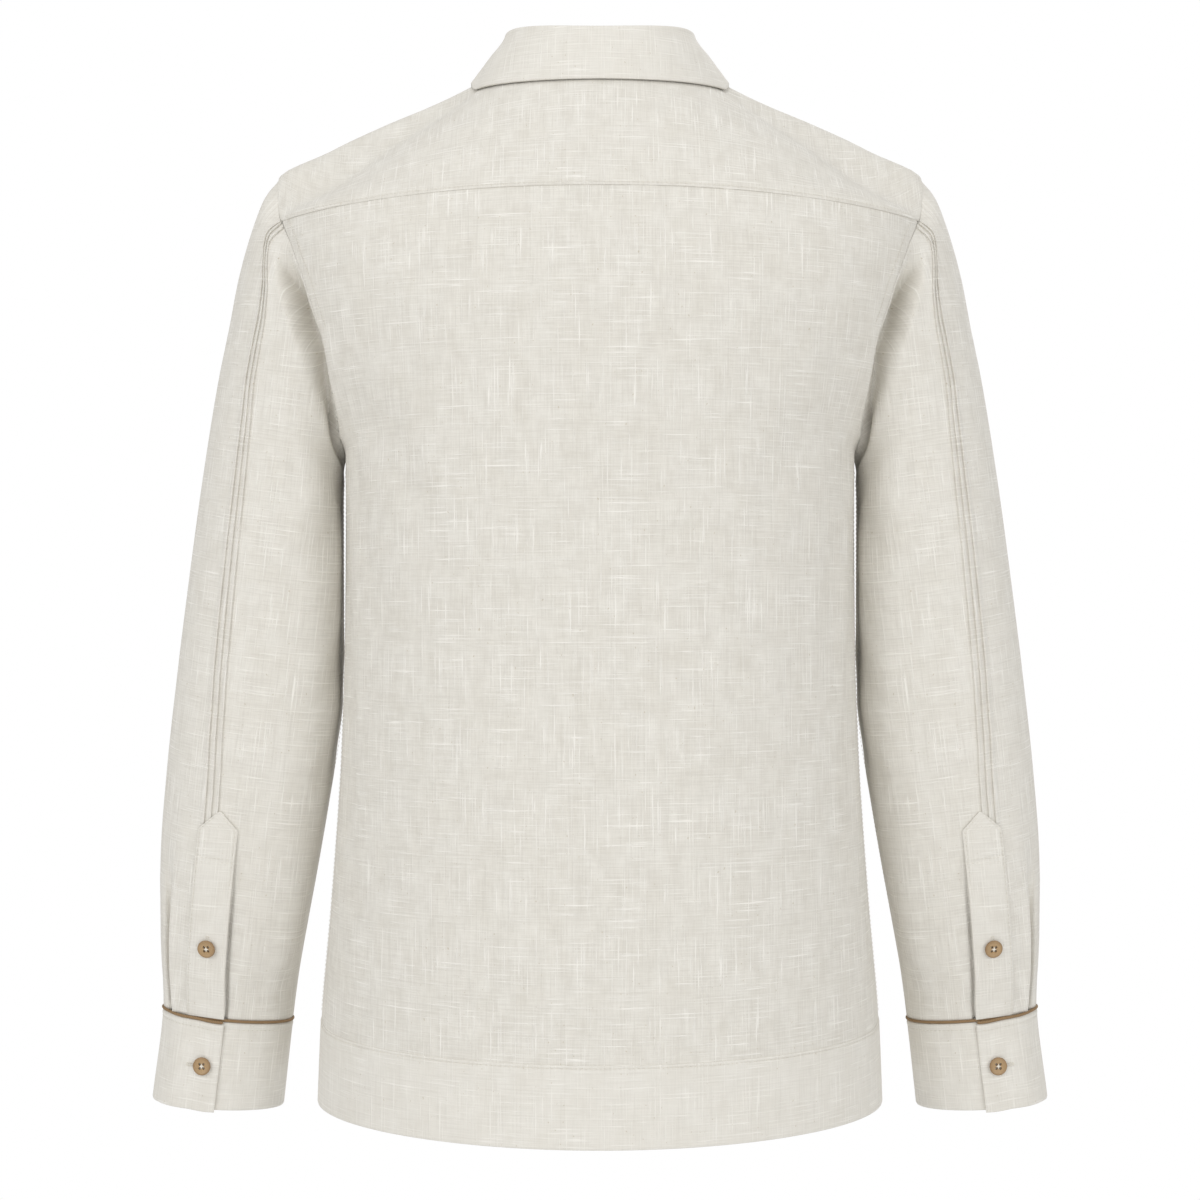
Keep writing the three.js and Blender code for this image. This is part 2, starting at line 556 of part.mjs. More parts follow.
// The angle that a column takes on the rings below the cap.
function columnAngle(c, row) {
  const fold = sleeveCurves.tuck(row);
  const scale = perDegree(fold, row);
  const backCount = ARMHOLE_ROWS.length + 1;
  const armpit = 3 + backCount;
  if (c.part === 'fold') return fold - ((c.tuck - 1) * TUCK_PITCH) / scale;
  if (c.part === 'start') return fold - (c.tuck * TUCK_PITCH - TUCK_STEP) / scale;
  if (c.part === 'end') return fold + TUCK_STEP / scale;
  const outside = fold - (3 * TUCK_PITCH - TUCK_STEP) / scale;
  if (c.pleat === 'under') return PLEAT_SHARE * outside - 0.6;
  if (c.pleat === 'fold') return PLEAT_SHARE * outside;
  if (c.seam <= 2) return [0, 0.3, 0.82][c.seam] * outside;
  if (c.seam <= armpit) return mix(fold, 180, (c.seam - 3) / backCount);
  return mix(180, 360, (c.seam - armpit) / (SEAM.length - armpit));
}

// Height of the cloth over the plain tube: tucks down the back of the arm, a pleat at the cuff.
function columnHeight(c, row) {
  if (c.part === 'fold') {
    const rise = smoothstep(row / 0.4);
    return TUCK_HEIGHT * rise * (row > TUCKS_END_ROW ? 0 : 1);
  }
  if (c.pleat === 'fold') return PLEAT_HEIGHT * smoothstep((row - PLEAT_TOP_ROW) / (12 - PLEAT_TOP_ROW));
  return 0;
}

function sleeve(mirror) {
  const columns = sleeveColumns();
  const base = SLEEVE_ROWS.map((row) => columns.map((c) => {
    const keep = clamp01(1 - row / CAP_ROWS) ** 2;
    const angle = mix(columnAngle(c, row), c.angle, keep);
    return sleeveAt(angle, row).addScaledVector(c.off, keep);
  }));
  const normals = sheetNormals(base, true);
  const outer = [];
  const inner = [];
  SLEEVE_ROWS.forEach((row, i) => {
    const seat = base[i].map((p, j) => p.clone().addScaledVector(normals[i][j], slitDip(columnAngle(columns[j], row), row)));
    outer.push(seat.map((p, j) => p.clone().addScaledVector(normals[i][j], columnHeight(columns[j], row))));
    inner.push(seat.map((p, j) => p.clone().addScaledVector(normals[i][j], -CLOTH)));
  });
  const atSeam = (key) => columns.map((c) => c[key].clone().addScaledVector(c.across, ARMHOLE_GAP));
  outer.unshift(atSeam('p'));
  inner.unshift(atSeam('inner'));
  const lastRow = rowPast(CUFF_SEAM, -PIPING_RADIUS - SEAM_GAP);
  const last = columns.map((c) => ({ angle: columnAngle(c, lastRow), height: columnHeight(c, lastRow) }));
  const lastPoint = (c, lift) => sleeveAt(c.angle, lastRow).addScaledVector(sleeveNormal(c.angle, lastRow), lift);
  outer.push(last.map((c) => lastPoint(c, c.height)));
  inner.push(last.map((c) => lastPoint(c, -CLOTH)));
  return wall(outer, inner, { closed: true, mirror });
}

// The pointed strip over the sleeve's slit. It lies on the sleeve's own points, moved out.
function sleevePlacket(mirror) {
  const lastRow = rowPast(CUFF_SEAM, -PIPING_RADIUS - SEAM_GAP);
  const rows = [PLACKET_TIP_ROW, PLACKET_SHOULDER_ROW, 10.3, 10.9, 11.5, 12, 12.5, lastRow];
  const points = rows.map((row, i) => {
    const scale = perDegree(placketEdge(row) - 14, row);
    const width = i === 0 ? PLACKET_TIP_WIDTH : PLACKET_WIDTH;
    const edge = placketEdge(row) - (i === 0 ? (PLACKET_WIDTH - PLACKET_TIP_WIDTH) / 2 / scale : 0);
    return spread(edge - width / scale, edge, 4).map((angle) => {
      const lift = SEAM_GAP + 0.15 + CLOTH;
      return sleeveAt(angle, row).addScaledVector(sleeveNormal(angle, row), lift);
    });
  });
  return wall(points, inwards(points, sheetNormals(points), CLOTH), { mirror });
}

// The cuff winds once round the wrist, and its end laps over its start.
const CUFF_END_ANGLE = 360 + PLACKET_EDGE_ANGLES[1];
const cuffLap = (angle) => {
  const [from, to] = CUFF_RAMP_ANGLES;
  return smoothstep((angle - from) / (to - from));
};

function cuff(mirror) {
  const top = rowPast(CUFF_SEAM, PIPING_RADIUS + SEAM_GAP);
  const rows = [top, 13.5, CUFF_HEM];
  const angles = spread(CUFF_UNDERLAP_ANGLE, CUFF_END_ANGLE, 38);
  const points = rows.map((row) => angles.map((angle) => {
    const out = PROUD + CUFF_LAP_LIFT * cuffLap(angle);
    return sleeveAt(angle, row).addScaledVector(sleeveNormal(angle, row), out);
  }));
  return wall(points, inwards(points, sheetNormals(points), DOUBLED), { mirror });
}

// Corded piping in the seam between sleeve and cuff.
function cuffPiping(mirror) {
  const side = mirror ? -1 : 1;
  const line = spread(CUFF_UNDERLAP_ANGLE, CUFF_END_ANGLE, PIPING_STEPS).map((angle) => {
    const p = sleeveAt(angle, CUFF_SEAM).addScaledVector(sleeveNormal(angle, CUFF_SEAM), 2.65 * cuffLap(angle));
    return vec(p.x * side, p.y, p.z);
  });
  const section = new THREE.Shape(spread(0, 288, 4).map((a) => {
    const turn = radians(a);
    return new THREE.Vector2(PIPING_RADIUS * Math.cos(turn), PIPING_RADIUS * Math.sin(turn));
  }));
  const geometry = new THREE.ExtrudeGeometry(section, {
    steps: PIPING_STEPS,
    extrudePath: new THREE.CatmullRomCurve3(line),
    curveSegments: 1,
    bevelEnabled: false,
  });
  return merged(geometry);
}

function merged(geometry) {
  const plain = geometry.clone();
  plain.deleteAttribute('normal');
  plain.deleteAttribute('uv');
  return mergeVertices(plain, 1e-4);
}

// ---------------------------------------------------------------- buttons
const wasm = await Module();
wasm.setup();

function toSolid(geometry) {
  return new wasm.Manifold(new wasm.Mesh({
    numProp: 3,
    vertProperties: new Float32Array(geometry.getAttribute('position').array),
    triVerts: new Uint32Array(geometry.getIndex().array),
  }));
}

function toGeometry(solid) {
  const mesh = solid.getMesh();
  const geometry = new THREE.BufferGeometry();
  geometry.setAttribute('position', new THREE.BufferAttribute(new Float32Array(mesh.vertProperties), 3));
  geometry.setIndex(new THREE.BufferAttribute(new Uint32Array(mesh.triVerts), 1));
  return geometry;
}

// A four-hole shirt button, its back at z = 0 and its rimmed face up.
function makeButton() {
  const profile = [[0, 0], [BUTTON_RADIUS - 0.5, 0], [BUTTON_RADIUS, 1.2], [5.5, BUTTON_HEIGHT], [4.6, 1.8], [0, 1.6]];
  const blank = merged(new THREE.LatheGeometry(profile.map(([r, z]) => new THREE.Vector2(r, z)), 14));
  blank.rotateX(Math.PI / 2);
  let solid = toSolid(blank);
  for (const [sx, sy] of [[1, 1], [-1, 1], [-1, -1], [1, -1]]) {
    const drill = merged(new THREE.CylinderGeometry(BUTTON_HOLE_RADIUS, BUTTON_HOLE_RADIUS, 8, 5));
    drill.rotateX(Math.PI / 2);
    drill.translate(sx * BUTTON_HOLE_OFFSET, sy * BUTTON_HOLE_OFFSET, 0);
    solid = solid.subtract(toSolid(drill));
  }
  return toGeometry(solid);
}

const BUTTON = makeButton();

// ---------------------------------------------------------------- the assembly
const LINEN = new THREE.MeshStandardMaterial({ color: 0xe2ddd3, roughness: 0.9, metalness: 0 });
const PIPING = new THREE.MeshStandardMaterial({ color: 0x9a7a55, roughness: 0.75, metalness: 0 });
const HORN = new THREE.MeshStandardMaterial({ color: 0xb08e63, roughness: 0.45, metalness: 0 });

const shirt = new THREE.Group();
shirt.name = 'guayabera_shirt';

function add(name, geometry, material = LINEN) {
  const mesh = new THREE.Mesh(geometry, material);
  mesh.name = name;
  shirt.add(mesh);
  return mesh;
}

// A button on a surface: its foot at the point, its face along the normal.
function addButton(name, point, normal, lift, upright = vec(0, 0, 1)) {
  const button = add(name, BUTTON.clone(), HORN);
  const face = normal.clone().normalize();
  const up = upright.clone().addScaledVector(face, -upright.dot(face)).normalize();
  const side = up.clone().cross(face);
  button.quaternion.setFromRotationMatrix(new THREE.Matrix4().makeBasis(side, up, face));
  button.position.copy(point).addScaledVector(face, lift);
}

add('back', backPanel());
add('yoke', yokePanel());
add('front_left', frontPanel((row) => 180 - angleFromFront(row, LEFT_FRONT_EDGE), false));
add('front_right', frontPanel((row) => 180 + angleFromFront(row, RIGHT_FRONT_EDGE), true));
add('front_placket', frontPlacket());
add('collar_stand', collarStand());
add('collar_leaf', collarLeaf());
add('hem_band_back', hemBand(() => -90, () => 90, BACK_COLUMNS));
add('hem_band_left', hemBand(() => 90, (row) => 180 - angleFromFront(row, LEFT_FRONT_EDGE), FRONT_COLUMNS));
add('hem_band_right', hemBand((row) => 180 - angleFromFront(row, RIGHT_FRONT_EDGE), () => 270, FRONT_COLUMNS));

for (const [side, mirror] of [['left', false], ['right', true]]) {
  add(`sleeve_${side}`, sleeve(mirror));
  add(`sleeve_placket_${side}`, sleevePlacket(mirror));
  add(`cuff_${side}`, cuff(mirror));
  add(`cuff_piping_${side}`, cuffPiping(mirror), PIPING);
  const sign = (v) => vec(mirror ? -v.x : v.x, v.y, v.z);
  const place = (name, angle, row, lift) => {
    addButton(name, sign(sleeveAt(angle, row)), sign(sleeveNormal(angle, row)), lift);
  };
  place(`placket_button_${side}`, PLACKET_BUTTON_ANGLE, PLACKET_BUTTON_ROW, CLOTH + SEAM_GAP + 0.15 + SEAM_GAP);
  place(`cuff_button_${side}`, CUFF_BUTTON_ANGLE, CUFF_BUTTON_ROW, PROUD + CUFF_LAP_LIFT + SEAM_GAP);
}

FRONT_BUTTON_HEIGHTS.forEach((height, i) => {
  const rows = spread(BAND, NECK, 600);
  const row = rows.find((r) => bodyAt(180, r).z >= height);
  addButton(`front_button_${i + 1}`, bodyAt(180, row), bodyNormal(180, row), STRIP_LIFT + CLOTH + SEAM_GAP);
});

const standFront = ringPoint(bodyRing(NECK), 180).lerp(ringPoint(FOLD, 180), 0.5).add(vec(0, STAND_INSET, 0));
const standRise = toward(ringPoint(bodyRing(NECK), 180), ringPoint(FOLD, 180));
addButton('collar_button', standFront, standRise.clone().cross(vec(-1, 0, 0)), SEAM_GAP);

export default shirt;
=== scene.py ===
"""A long-sleeved linen guayabera shirt, filled out as it is when worn, with no wearer."""

import math

import bmesh
import bpy
import numpy as np
from bpy.props import FloatProperty, FloatVectorProperty, IntProperty, PointerProperty
from mathutils import Matrix, Vector


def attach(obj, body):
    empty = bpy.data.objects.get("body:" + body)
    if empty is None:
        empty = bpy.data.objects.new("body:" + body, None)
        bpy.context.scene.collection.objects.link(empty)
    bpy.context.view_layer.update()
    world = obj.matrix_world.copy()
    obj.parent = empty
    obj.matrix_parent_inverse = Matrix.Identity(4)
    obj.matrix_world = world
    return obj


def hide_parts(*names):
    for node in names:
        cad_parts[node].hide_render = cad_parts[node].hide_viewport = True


bl_info = {
    "name": "Guayabera Shirt",
    "version": (1, 0, 0),
    "blender": (4, 5, 0),
    "location": "View3D > Sidebar > Shirt",
    "description": "Builds a linen guayabera shirt over its packed solids",
    "category": "Add Mesh",
}

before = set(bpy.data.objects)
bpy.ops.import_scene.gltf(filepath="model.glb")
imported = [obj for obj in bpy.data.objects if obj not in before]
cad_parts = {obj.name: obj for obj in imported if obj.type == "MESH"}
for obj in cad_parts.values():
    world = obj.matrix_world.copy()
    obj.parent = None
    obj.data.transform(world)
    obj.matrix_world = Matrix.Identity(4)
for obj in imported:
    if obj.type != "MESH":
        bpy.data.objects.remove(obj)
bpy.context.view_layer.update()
MM = 0.001


# ------------------------------------------------------------------ colours
def linear(code):
    """An sRGB hex colour as the linear red, green and blue that the shaders want."""
    values = [int(code[i:i + 2], 16) / 255 for i in (1, 3, 5)]
    return tuple(v / 12.92 if v <= 0.04045 else ((v + 0.055) / 1.055) ** 2.4 for v in values)


def colour(name, code, description):
    return FloatVectorProperty(name=name, description=description, default=linear(code),
                               subtype="COLOR", size=3, min=0, max=1)


def length(name, millimetres, description):
    return FloatProperty(name=name, description=description, default=millimetres * MM, min=0, unit="LENGTH")


class ShirtSizes(bpy.types.PropertyGroup):
    """Sizes of the cloth and its sewing."""
    cloth: length("Cloth", 1.1, "Thickness of the single linen, with its seam allowances")
    doubled: length("Doubled cloth", 1.9, "Thickness of the cuffs, the collar and the hem band")
    seam_dip: length("Seam dip", 0.7, "How far the cloth turns down into a seam")
    seam_ridge: length("Seam ridge", 0.35, "How far the turned-in seam allowance lifts the cloth")
    tuck_height: length("Tuck height", 1.35, "Height of the pin tucks on the sleeves")
    pleat_height: length("Pleat height", 2.4, "Height of the pleat's fold above the cuff")
    pleat_depth: length("Pleat depth", 14.0, "How far the cloth under the pleat falls back above the cuff")
    stitch: length("Stitch", 2.4, "Length of one stitch")
    stitch_pitch: length("Stitch pitch", 3.1, "From one stitch to the next")
    thread: length("Thread", 0.42, "Thickness of the sewing thread")
    button: length("Button", 12.7, "Diameter of the buttons, 20 ligne")
    piping: length("Piping", 2.0, "Diameter of the corded piping")
    creases: FloatProperty(name="Creases", description="Depth of the soft creases, against their own sizes",
                           default=1.2, min=0, max=3, subtype="FACTOR")
    columns: IntProperty(name="Columns", description="Columns of points across the back",
                         default=96, min=24, max=200)


class ShirtColours(bpy.types.PropertyGroup):
    """Colours of the cloth, the trim and the stage."""
    linen: colour("Linen", "#E3E0D8", "Unbleached linen, its paler threads")
    shade: colour("Shade", "#D0CCC3", "Unbleached linen, its darker threads")
    slub: colour("Slubs", "#F0EDE6", "The thickest, palest threads of the linen")
    fleck: colour("Flecks", "#A79878", "Bits of straw left in the yarn")
    thread: colour("Thread", "#E6E1D5", "Sewing thread")
    piping: colour("Piping", "#8D7150", "Brown cotton piping")
    button: colour("Button", "#B1946C", "Face of the buttons")
    rim: colour("Button rim", "#886A47", "Rim and edge of the buttons")
    floor: colour("Floor", "#F7F7F7", "The floor")


# ------------------------------------------------------------------ the body's form, in millimetres
# One row a ring, from the hem up: half width, depths behind and before the plane between the
# sleeves, roundness (2 is an ellipse), and the height at five angles from centre back to front.
STATIONS = (0, 72, 90, 108, 180)
BODY = {
    "hem": (197, 140, 132, 2.0, (-713, -711.2, -711.5, -711.2, -713)),
    "band": (194.6, 139.5, 131, 2.0, (-659, -656.5, -653, -656.5, -659)),
    "hip": (187.7, 137, 129, 2.05, (-573,) * 5),
    "low waist": (180.5, 134.5, 126, 2.1, (-467,) * 5),
    "waist": (177.8, 133, 124, 2.15, (-380,) * 5),
    "ribs": (177.3, 132.5, 123.5, 2.25, (-310,) * 5),
    "armpit": (177.5, 133, 124, 2.3, (-262,) * 5),
    "underarm": (180, 133, 123.5, 2.3, (-243,) * 5),
    "chest": (191, 133, 122, 2.3, (-215, -215, -213, -214, -218)),
    "blades": (205, 132, 119, 2.3, (-185, -185, -181, -184, -194)),
    "upper chest": (217, 129, 114, 2.3, (-155, -156, -148, -153, -173)),
    "collarbone": (225, 122, 109, 2.3, (-121, -125, -104, -121, -153)),
    "yoke": (227, 113.5, 103, 2.3, (-92, -103, -67, -92, -134)),
    "shoulder": (188, 104, 97, 2.25, (-72, -79, -46, -66, -118)),
    "mid shoulder": (150, 90, 90, 2.2, (-47, -52, -28.5, -44, -103)),
    "collar edge": (108, 76, 82, 2.1, (-24, -24, -10.5, -22, -88)),
    "neck": (70, 60, 72, 2.0, (-4, 6, 9, 1, -72)),
}
HEM, BAND, ARMPIT, YOKE, NECK = 0, 1, 6, 12, 16
YOKE_ARM_ANGLE, YOKE_FRONT_ANGLE = 72, 108      # where the yoke's seams meet the armhole
FOLD = (65, 54, 68, 2.0, (25, 32, 33, 27, -44))

# Where the armhole cuts each ring: ring, angle behind the arm, angle before it.
ARMHOLE = ((6, 90, 90), (6.4, 83.5, 97), (7, 78, 104), (8, 69, 113), (9, 63.5, 118), (10, 63, 118.5),
           (11, 66, 115), (12, 72, 108))
SEAM_ROWS = (6.4, 7, 7.5, 8, 8.6, 9.3, 10, 10.7, 11.3)
# The armhole is counted in steps from the shoulder: behind it to the armpit, and back before it.
SEAM_POINTS, YOKE_STEP, ARMPIT_STEP, FRONT_YOKE_STEP = 26, 3, 13, 23
SHOULDER_TURN = 6       # degrees a step along the yoke's end

# One row a ring of the sleeve: outer end x and z, inner end x and z, middle y, depths behind and
# before it, and the angle of the innermost tuck's fold.
SLEEVE = {
    "armhole": (227, -67, 177.5, -262, 0, 65.5, 62, 52),
    "cap 1": (235.5, -81, 178.6, -266, 0, 61.5, 60, 49.5),
    "cap 2": (245, -107, 179.6, -271, -1, 58.5, 58, 66.5),
    "cap 3": (253, -136, 180.6, -279, -2, 57, 57, 70),
    "cap 4": (260.5, -172, 181.3, -290, -4, 56.5, 57, 70),
    "biceps": (269.5, -214, 181.7, -310, -7, 56, 57, 73),
    "upper": (280.5, -279, 181.9, -348, -10, 56, 56, 74.5),
    "above elbow": (291, -350, 182.2, -394, -14, 55, 55, 74.3),
    "elbow": (301.8, -433, 184.5, -447.3, -17, 54, 54, 75.5),
    "below elbow": (308, -486.6, 191.6, -493.8, -20, 52, 53, 78.6),
    "forearm": (312.6, -540.4, 200.6, -545.4, -23, 49, 50, 80),
    "lower": (314, -587.3, 209.5, -592.3, -26, 43.5, 45, 79),
    "gathered": (313.6, -621.2, 216, -628.4, -28, 37, 38, 78),
    "cuff seam": (312.4, -652.4, 220.5, -661.7, -30, 31, 31, 78),
    "cuff hem": (320.4, -718, 227.6, -723.5, -32, 30.5, 30.5, 78),
}
CUFF_SEAM, CUFF_HEM = 13, 14
CAP_ROWS = 3            # rows over which the sleeve turns from the armhole into a plain tube
TUCK_PITCH, TUCK_STEP, TUCKS_END = 4.8, 0.4, 9.36
PLEAT_SHARE, PLEAT_TOP, PLEAT_RUN = 0.62, 9.7, 1.7
PLACKET_WIDTH, PLACKET_EDGES, PLACKET_MIDDLE = 28.6, (94.5, 93.2), 14
PLACKET_TIP, PLACKET_SHOULDER, PLACKET_POINT, PLACKET_LIFT = 9.34, 9.56, 13.0, 1.65
CUFF_UNDERLAP, CUFF_RAMP, CUFF_END = 64, (386, 418), 453.2
CUFF_LAP_LIFT, CUFF_LIFT = 2.4, 0.5
ALLOWANCE = 8           # from a seam to the line of stitches beside it
STRIP_HALF, STRIP_LIFT, BAND_LIFT = 16.0, 1.95, 0.75
LEFT_STOP, RIGHT_STOP = 13.0, 12.4      # how far before the middle the fronts end, under the strip
SIDES = (("left", False), ("right", True))
FLIPS = (np.array([1, 1, 1]), np.array([-1, 1, 1]))     # as made, and mirrored to the other side


def lerp(a, b, t):
    return a + (b - a) * t


def smoothstep(t):
    t = np.clip(t, 0, 1)
    return t * t * (3 - 2 * t)


def bell(distance, width):
    return np.exp(-(distance / width) ** 2)


def curve(xs, ys, x):
    """A smooth monotone curve through (xs, ys) at x. ys may hold its own row of values for each x."""
    xs, ys, x = np.asarray(xs, float), np.asarray(ys, float), np.asarray(x, float)
    ys = np.broadcast_to(ys, x.shape + xs.shape) if ys.ndim == 1 else ys
    steps = np.diff(xs)
    slopes = np.diff(ys, axis=-1) / steps
    product = slopes[..., :-1] * slopes[..., 1:]
    total = slopes[..., :-1] + slopes[..., 1:]
    inner = np.where(product > 0, 2 * product / np.where(product > 0, total, 1), 0)
    tangents = np.concatenate([slopes[..., :1], inner, slopes[..., -1:]], axis=-1)
    i = np.clip(np.searchsorted(xs, x) - 1, 0, len(xs) - 2)
    take = lambda values, k: np.take_along_axis(values, k[..., None], axis=-1)[..., 0]
    step = steps[i]
    t = np.clip((x - xs[i]) / step, 0, 1)
    return (take(ys, i) * (2 * t ** 3 - 3 * t ** 2 + 1)
            + take(tangents, i) * step * (t ** 3 - 2 * t ** 2 + t)
            + take(ys, i + 1) * (3 * t ** 2 - 2 * t ** 3)
            + take(tangents, i + 1) * step * (t ** 3 - t ** 2))


def column(table, index, row):
    values = [line[index] for line in table.values()]
    return curve(range(len(values)), values, row)


def superellipse(wide, back, front, n, heights, angle):
    """A point of a ring. heights holds the five heights of the ring, one row a point."""
    turned = (angle + 180) % 360 - 180
    sine, cosine = np.sin(np.radians(turned)), np.cos(np.radians(turned))
    depth = np.where(cosine > 0, back, front)
    stations = (-STATIONS[1], *STATIONS, 360 - STATIONS[3])
    around = np.concatenate([heights[..., 1:2], heights, heights[..., 3:4]], axis=-1)
    x = wide * np.sign(sine) * np.abs(sine) ** (2 / n)
    y = depth * np.sign(cosine) * np.abs(cosine) ** (2 / n)
    return np.stack([x, y, curve(stations, around, np.abs(turned))], axis=-1)


def body_at(angle, row):
    angle, row = np.broadcast_arrays(np.asarray(angle, float), np.asarray(row, float))
    heights = [curve(range(len(BODY)), [ring[4][k] for ring in BODY.values()], row) for k in range(5)]
    wide, back, front, n = (column(BODY, k, row) for k in range(4))
    return superellipse(wide, back, front, n, np.stack(heights, axis=-1), angle)


def ring_at(ring, angle):
    angle = np.asarray(angle, float)
    heights = np.broadcast_to(np.asarray(ring[4], float), angle.shape + (5,))
    return superellipse(*ring[:4], heights, angle)


def unit(v):
    return v / np.maximum(np.linalg.norm(v, axis=-1, keepdims=True), 1e-9)


def body_normal(angle, row):
    across = body_at(angle + 0.5, row) - body_at(angle - 0.5, row)
    up = body_at(angle, np.minimum(row + 0.05, NECK)) - body_at(angle, np.maximum(row - 0.05, HEM))
    return unit(np.cross(up, across))


def armhole(row, front):
    return curve([line[0] for line in ARMHOLE], [line[2 if front else 1] for line in ARMHOLE], row)


def front_angle(row, distance):
    """The angle past centre front at which a ring is that far from the middle."""
    row = np.asarray(row, float)
    wide, n = column(BODY, 0, row), column(BODY, 3, row)
    return np.degrees(np.arcsin((distance / wide) ** (n / 2)))


def sleeve_at(angle, row):
    angle, row = np.broadcast_arrays(np.asarray(angle, float), np.asarray(row, float))
    ox, oz, ix, iz, y, back, front = (column(SLEEVE, k, row) for k in range(7))
    cosine, sine = np.cos(np.radians(angle)), np.sin(np.radians(angle))
    along = (1 + cosine) / 2
    depth = np.where(sine > 0, back, front)
    return np.stack([lerp(ix, ox, along), y + depth * sine, lerp(iz, oz, along)], axis=-1)


def sleeve_normal(angle, row):
    across = sleeve_at(angle + 0.5, row) - sleeve_at(angle - 0.5, row)
    down = sleeve_at(angle, np.minimum(row + 0.05, CUFF_HEM)) - sleeve_at(angle, row - 0.05)
    return unit(np.cross(down, across))


def per_degree(angle, row):
    return np.linalg.norm(sleeve_at(angle + 0.5, row) - sleeve_at(angle - 0.5, row), axis=-1)


def row_past(row, distance):
    step = sleeve_at(90, row + 0.02) - sleeve_at(90, row)
    return row + 0.02 * distance / float(np.linalg.norm(step))


def placket_edge(row):
    top, bottom = PLACKET_EDGES
    return lerp(top, bottom, np.clip((row - PLACKET_TIP) / (CUFF_SEAM - PLACKET_TIP), 0, 1))


def cuff_lap(angle):
    return smoothstep((angle - CUFF_RAMP[0]) / (CUFF_RAMP[1] - CUFF_RAMP[0]))


def armhole_seam(step):
    """The point of the armhole at a step of its count, as its angle and row on the body."""
    step = np.asarray(step, float) % SEAM_POINTS
    rows = (YOKE, *reversed(SEAM_ROWS), ARMPIT, *SEAM_ROWS, YOKE)
    row = np.interp(step, np.arange(YOKE_STEP, FRONT_YOKE_STEP + 1), rows)
    front = YOKE_FRONT_ANGLE - SHOULDER_TURN * (step - FRONT_YOKE_STEP)
    behind = np.where(step >= FRONT_YOKE_STEP, front, 0)
    angle = np.where(step <= YOKE_STEP, 90 - SHOULDER_TURN * step, behind)
    beside = np.where(step <= ARMPIT_STEP, armhole(row, False), armhole(row, True))
    return np.where((step > YOKE_STEP) & (step < FRONT_YOKE_STEP), beside, angle), row


def armhole_point(step):
    return body_at(*armhole_seam(step))


def seam_on_sleeve(step):
    """The angle on the sleeve's first ring nearest each armhole point, and how far off the ring it lies."""
    ox, oz, ix, iz, y, back, front, _ = SLEEVE["armhole"]
    point = armhole_point(step)
    axis = np.array([ox - ix, 0, oz - iz]) / 2
    offset = point - np.array([(ox + ix) / 2, y, (oz + iz) / 2])
    depth = np.where(offset[..., 1] > 0, back, front)
    angle = np.degrees(np.arctan2(offset[..., 1] / depth, offset @ axis / (axis @ axis)))
    angle = np.where(angle < -1e-6, angle + 360, np.maximum(angle, 0))
    angle = np.where(np.asarray(step) >= SEAM_POINTS - 1e-6, 360, angle)
    return angle, point - sleeve_at(angle, 0)


# ------------------------------------------------------------------ creases, placed one by one
# Each row: start angle and row, end angle and row, width, and depth (a ridge is negative).
BACK_CREASES = (
    (58, 7.3, 30, 4.4, 15, 1.5),
    (70, 6.6, 52, 3.6, 11, 1.0),
    (-60, 7.2, -34, 4.9, 14, 1.3),
    (-73, 6.5, -58, 3.2, 12, 1.1),
    (44, 9.6, 26, 7.4, 17, 0.9),
    (-46, 9.4, -24, 7.9, 18, 0.8),
    (80, 5.2, 62, 1.9, 13, 1.2),
    (-82, 5.0, -66, 2.2, 12, 1.0),
    (24, 3.4, 12, 1.3, 20, -0.8),
    (-14, 3.9, -26, 1.6, 22, -0.7),
)
FRONT_CREASES = (
    (112, 7.6, 142, 4.7, 15, 2.6),
    (103, 6.7, 122, 3.4, 12, 2.0),
    (122, 9.8, 140, 8.2, 16, 1.8),
    (98, 4.8, 116, 1.8, 13, 2.1),
    (150, 4.2, 158, 1.7, 18, -1.4),
    (134, 12.8, 150, 11.2, 15, 1.1),
)
YOKE_CREASES = (
    (48, 12.5, 22, 12.3, 14, 0.3),
    (-50, 12.6, -30, 12.2, 15, 0.3),
    (84, 13.6, 66, 13.0, 14, 0.2),
)
SLEEVE_CREASES = (
    (150, 4.6, 118, 6.6, 13, 1.5),
    (212, 5.2, 246, 7.1, 13, 1.4),
    (172, 6.6, 136, 7.9, 12, 1.3),
    (196, 7.4, 232, 8.3, 12, 1.5),
    (166, 8.3, 138, 9.0, 11, 1.0),
    (20, 7.8, 348, 8.9, 16, 0.7),
    (30, 2.2, 18, 4.2, 14, 0.6),
    (330, 2.4, 342, 5.0, 15, 0.8),
    (128, 9.6, 122, 12.4, 9, 1.0),
    (158, 10.2, 152, 12.6, 8, 0.9),
    (12, 10.6, 10, 12.6, 7, 1.1),
    (330, 10.0, 334, 12.6, 9, 1.2),
    (296, 10.4, 300, 12.6, 9, 1.0),
    (262, 10.1, 258, 12.6, 9, 0.9),
)


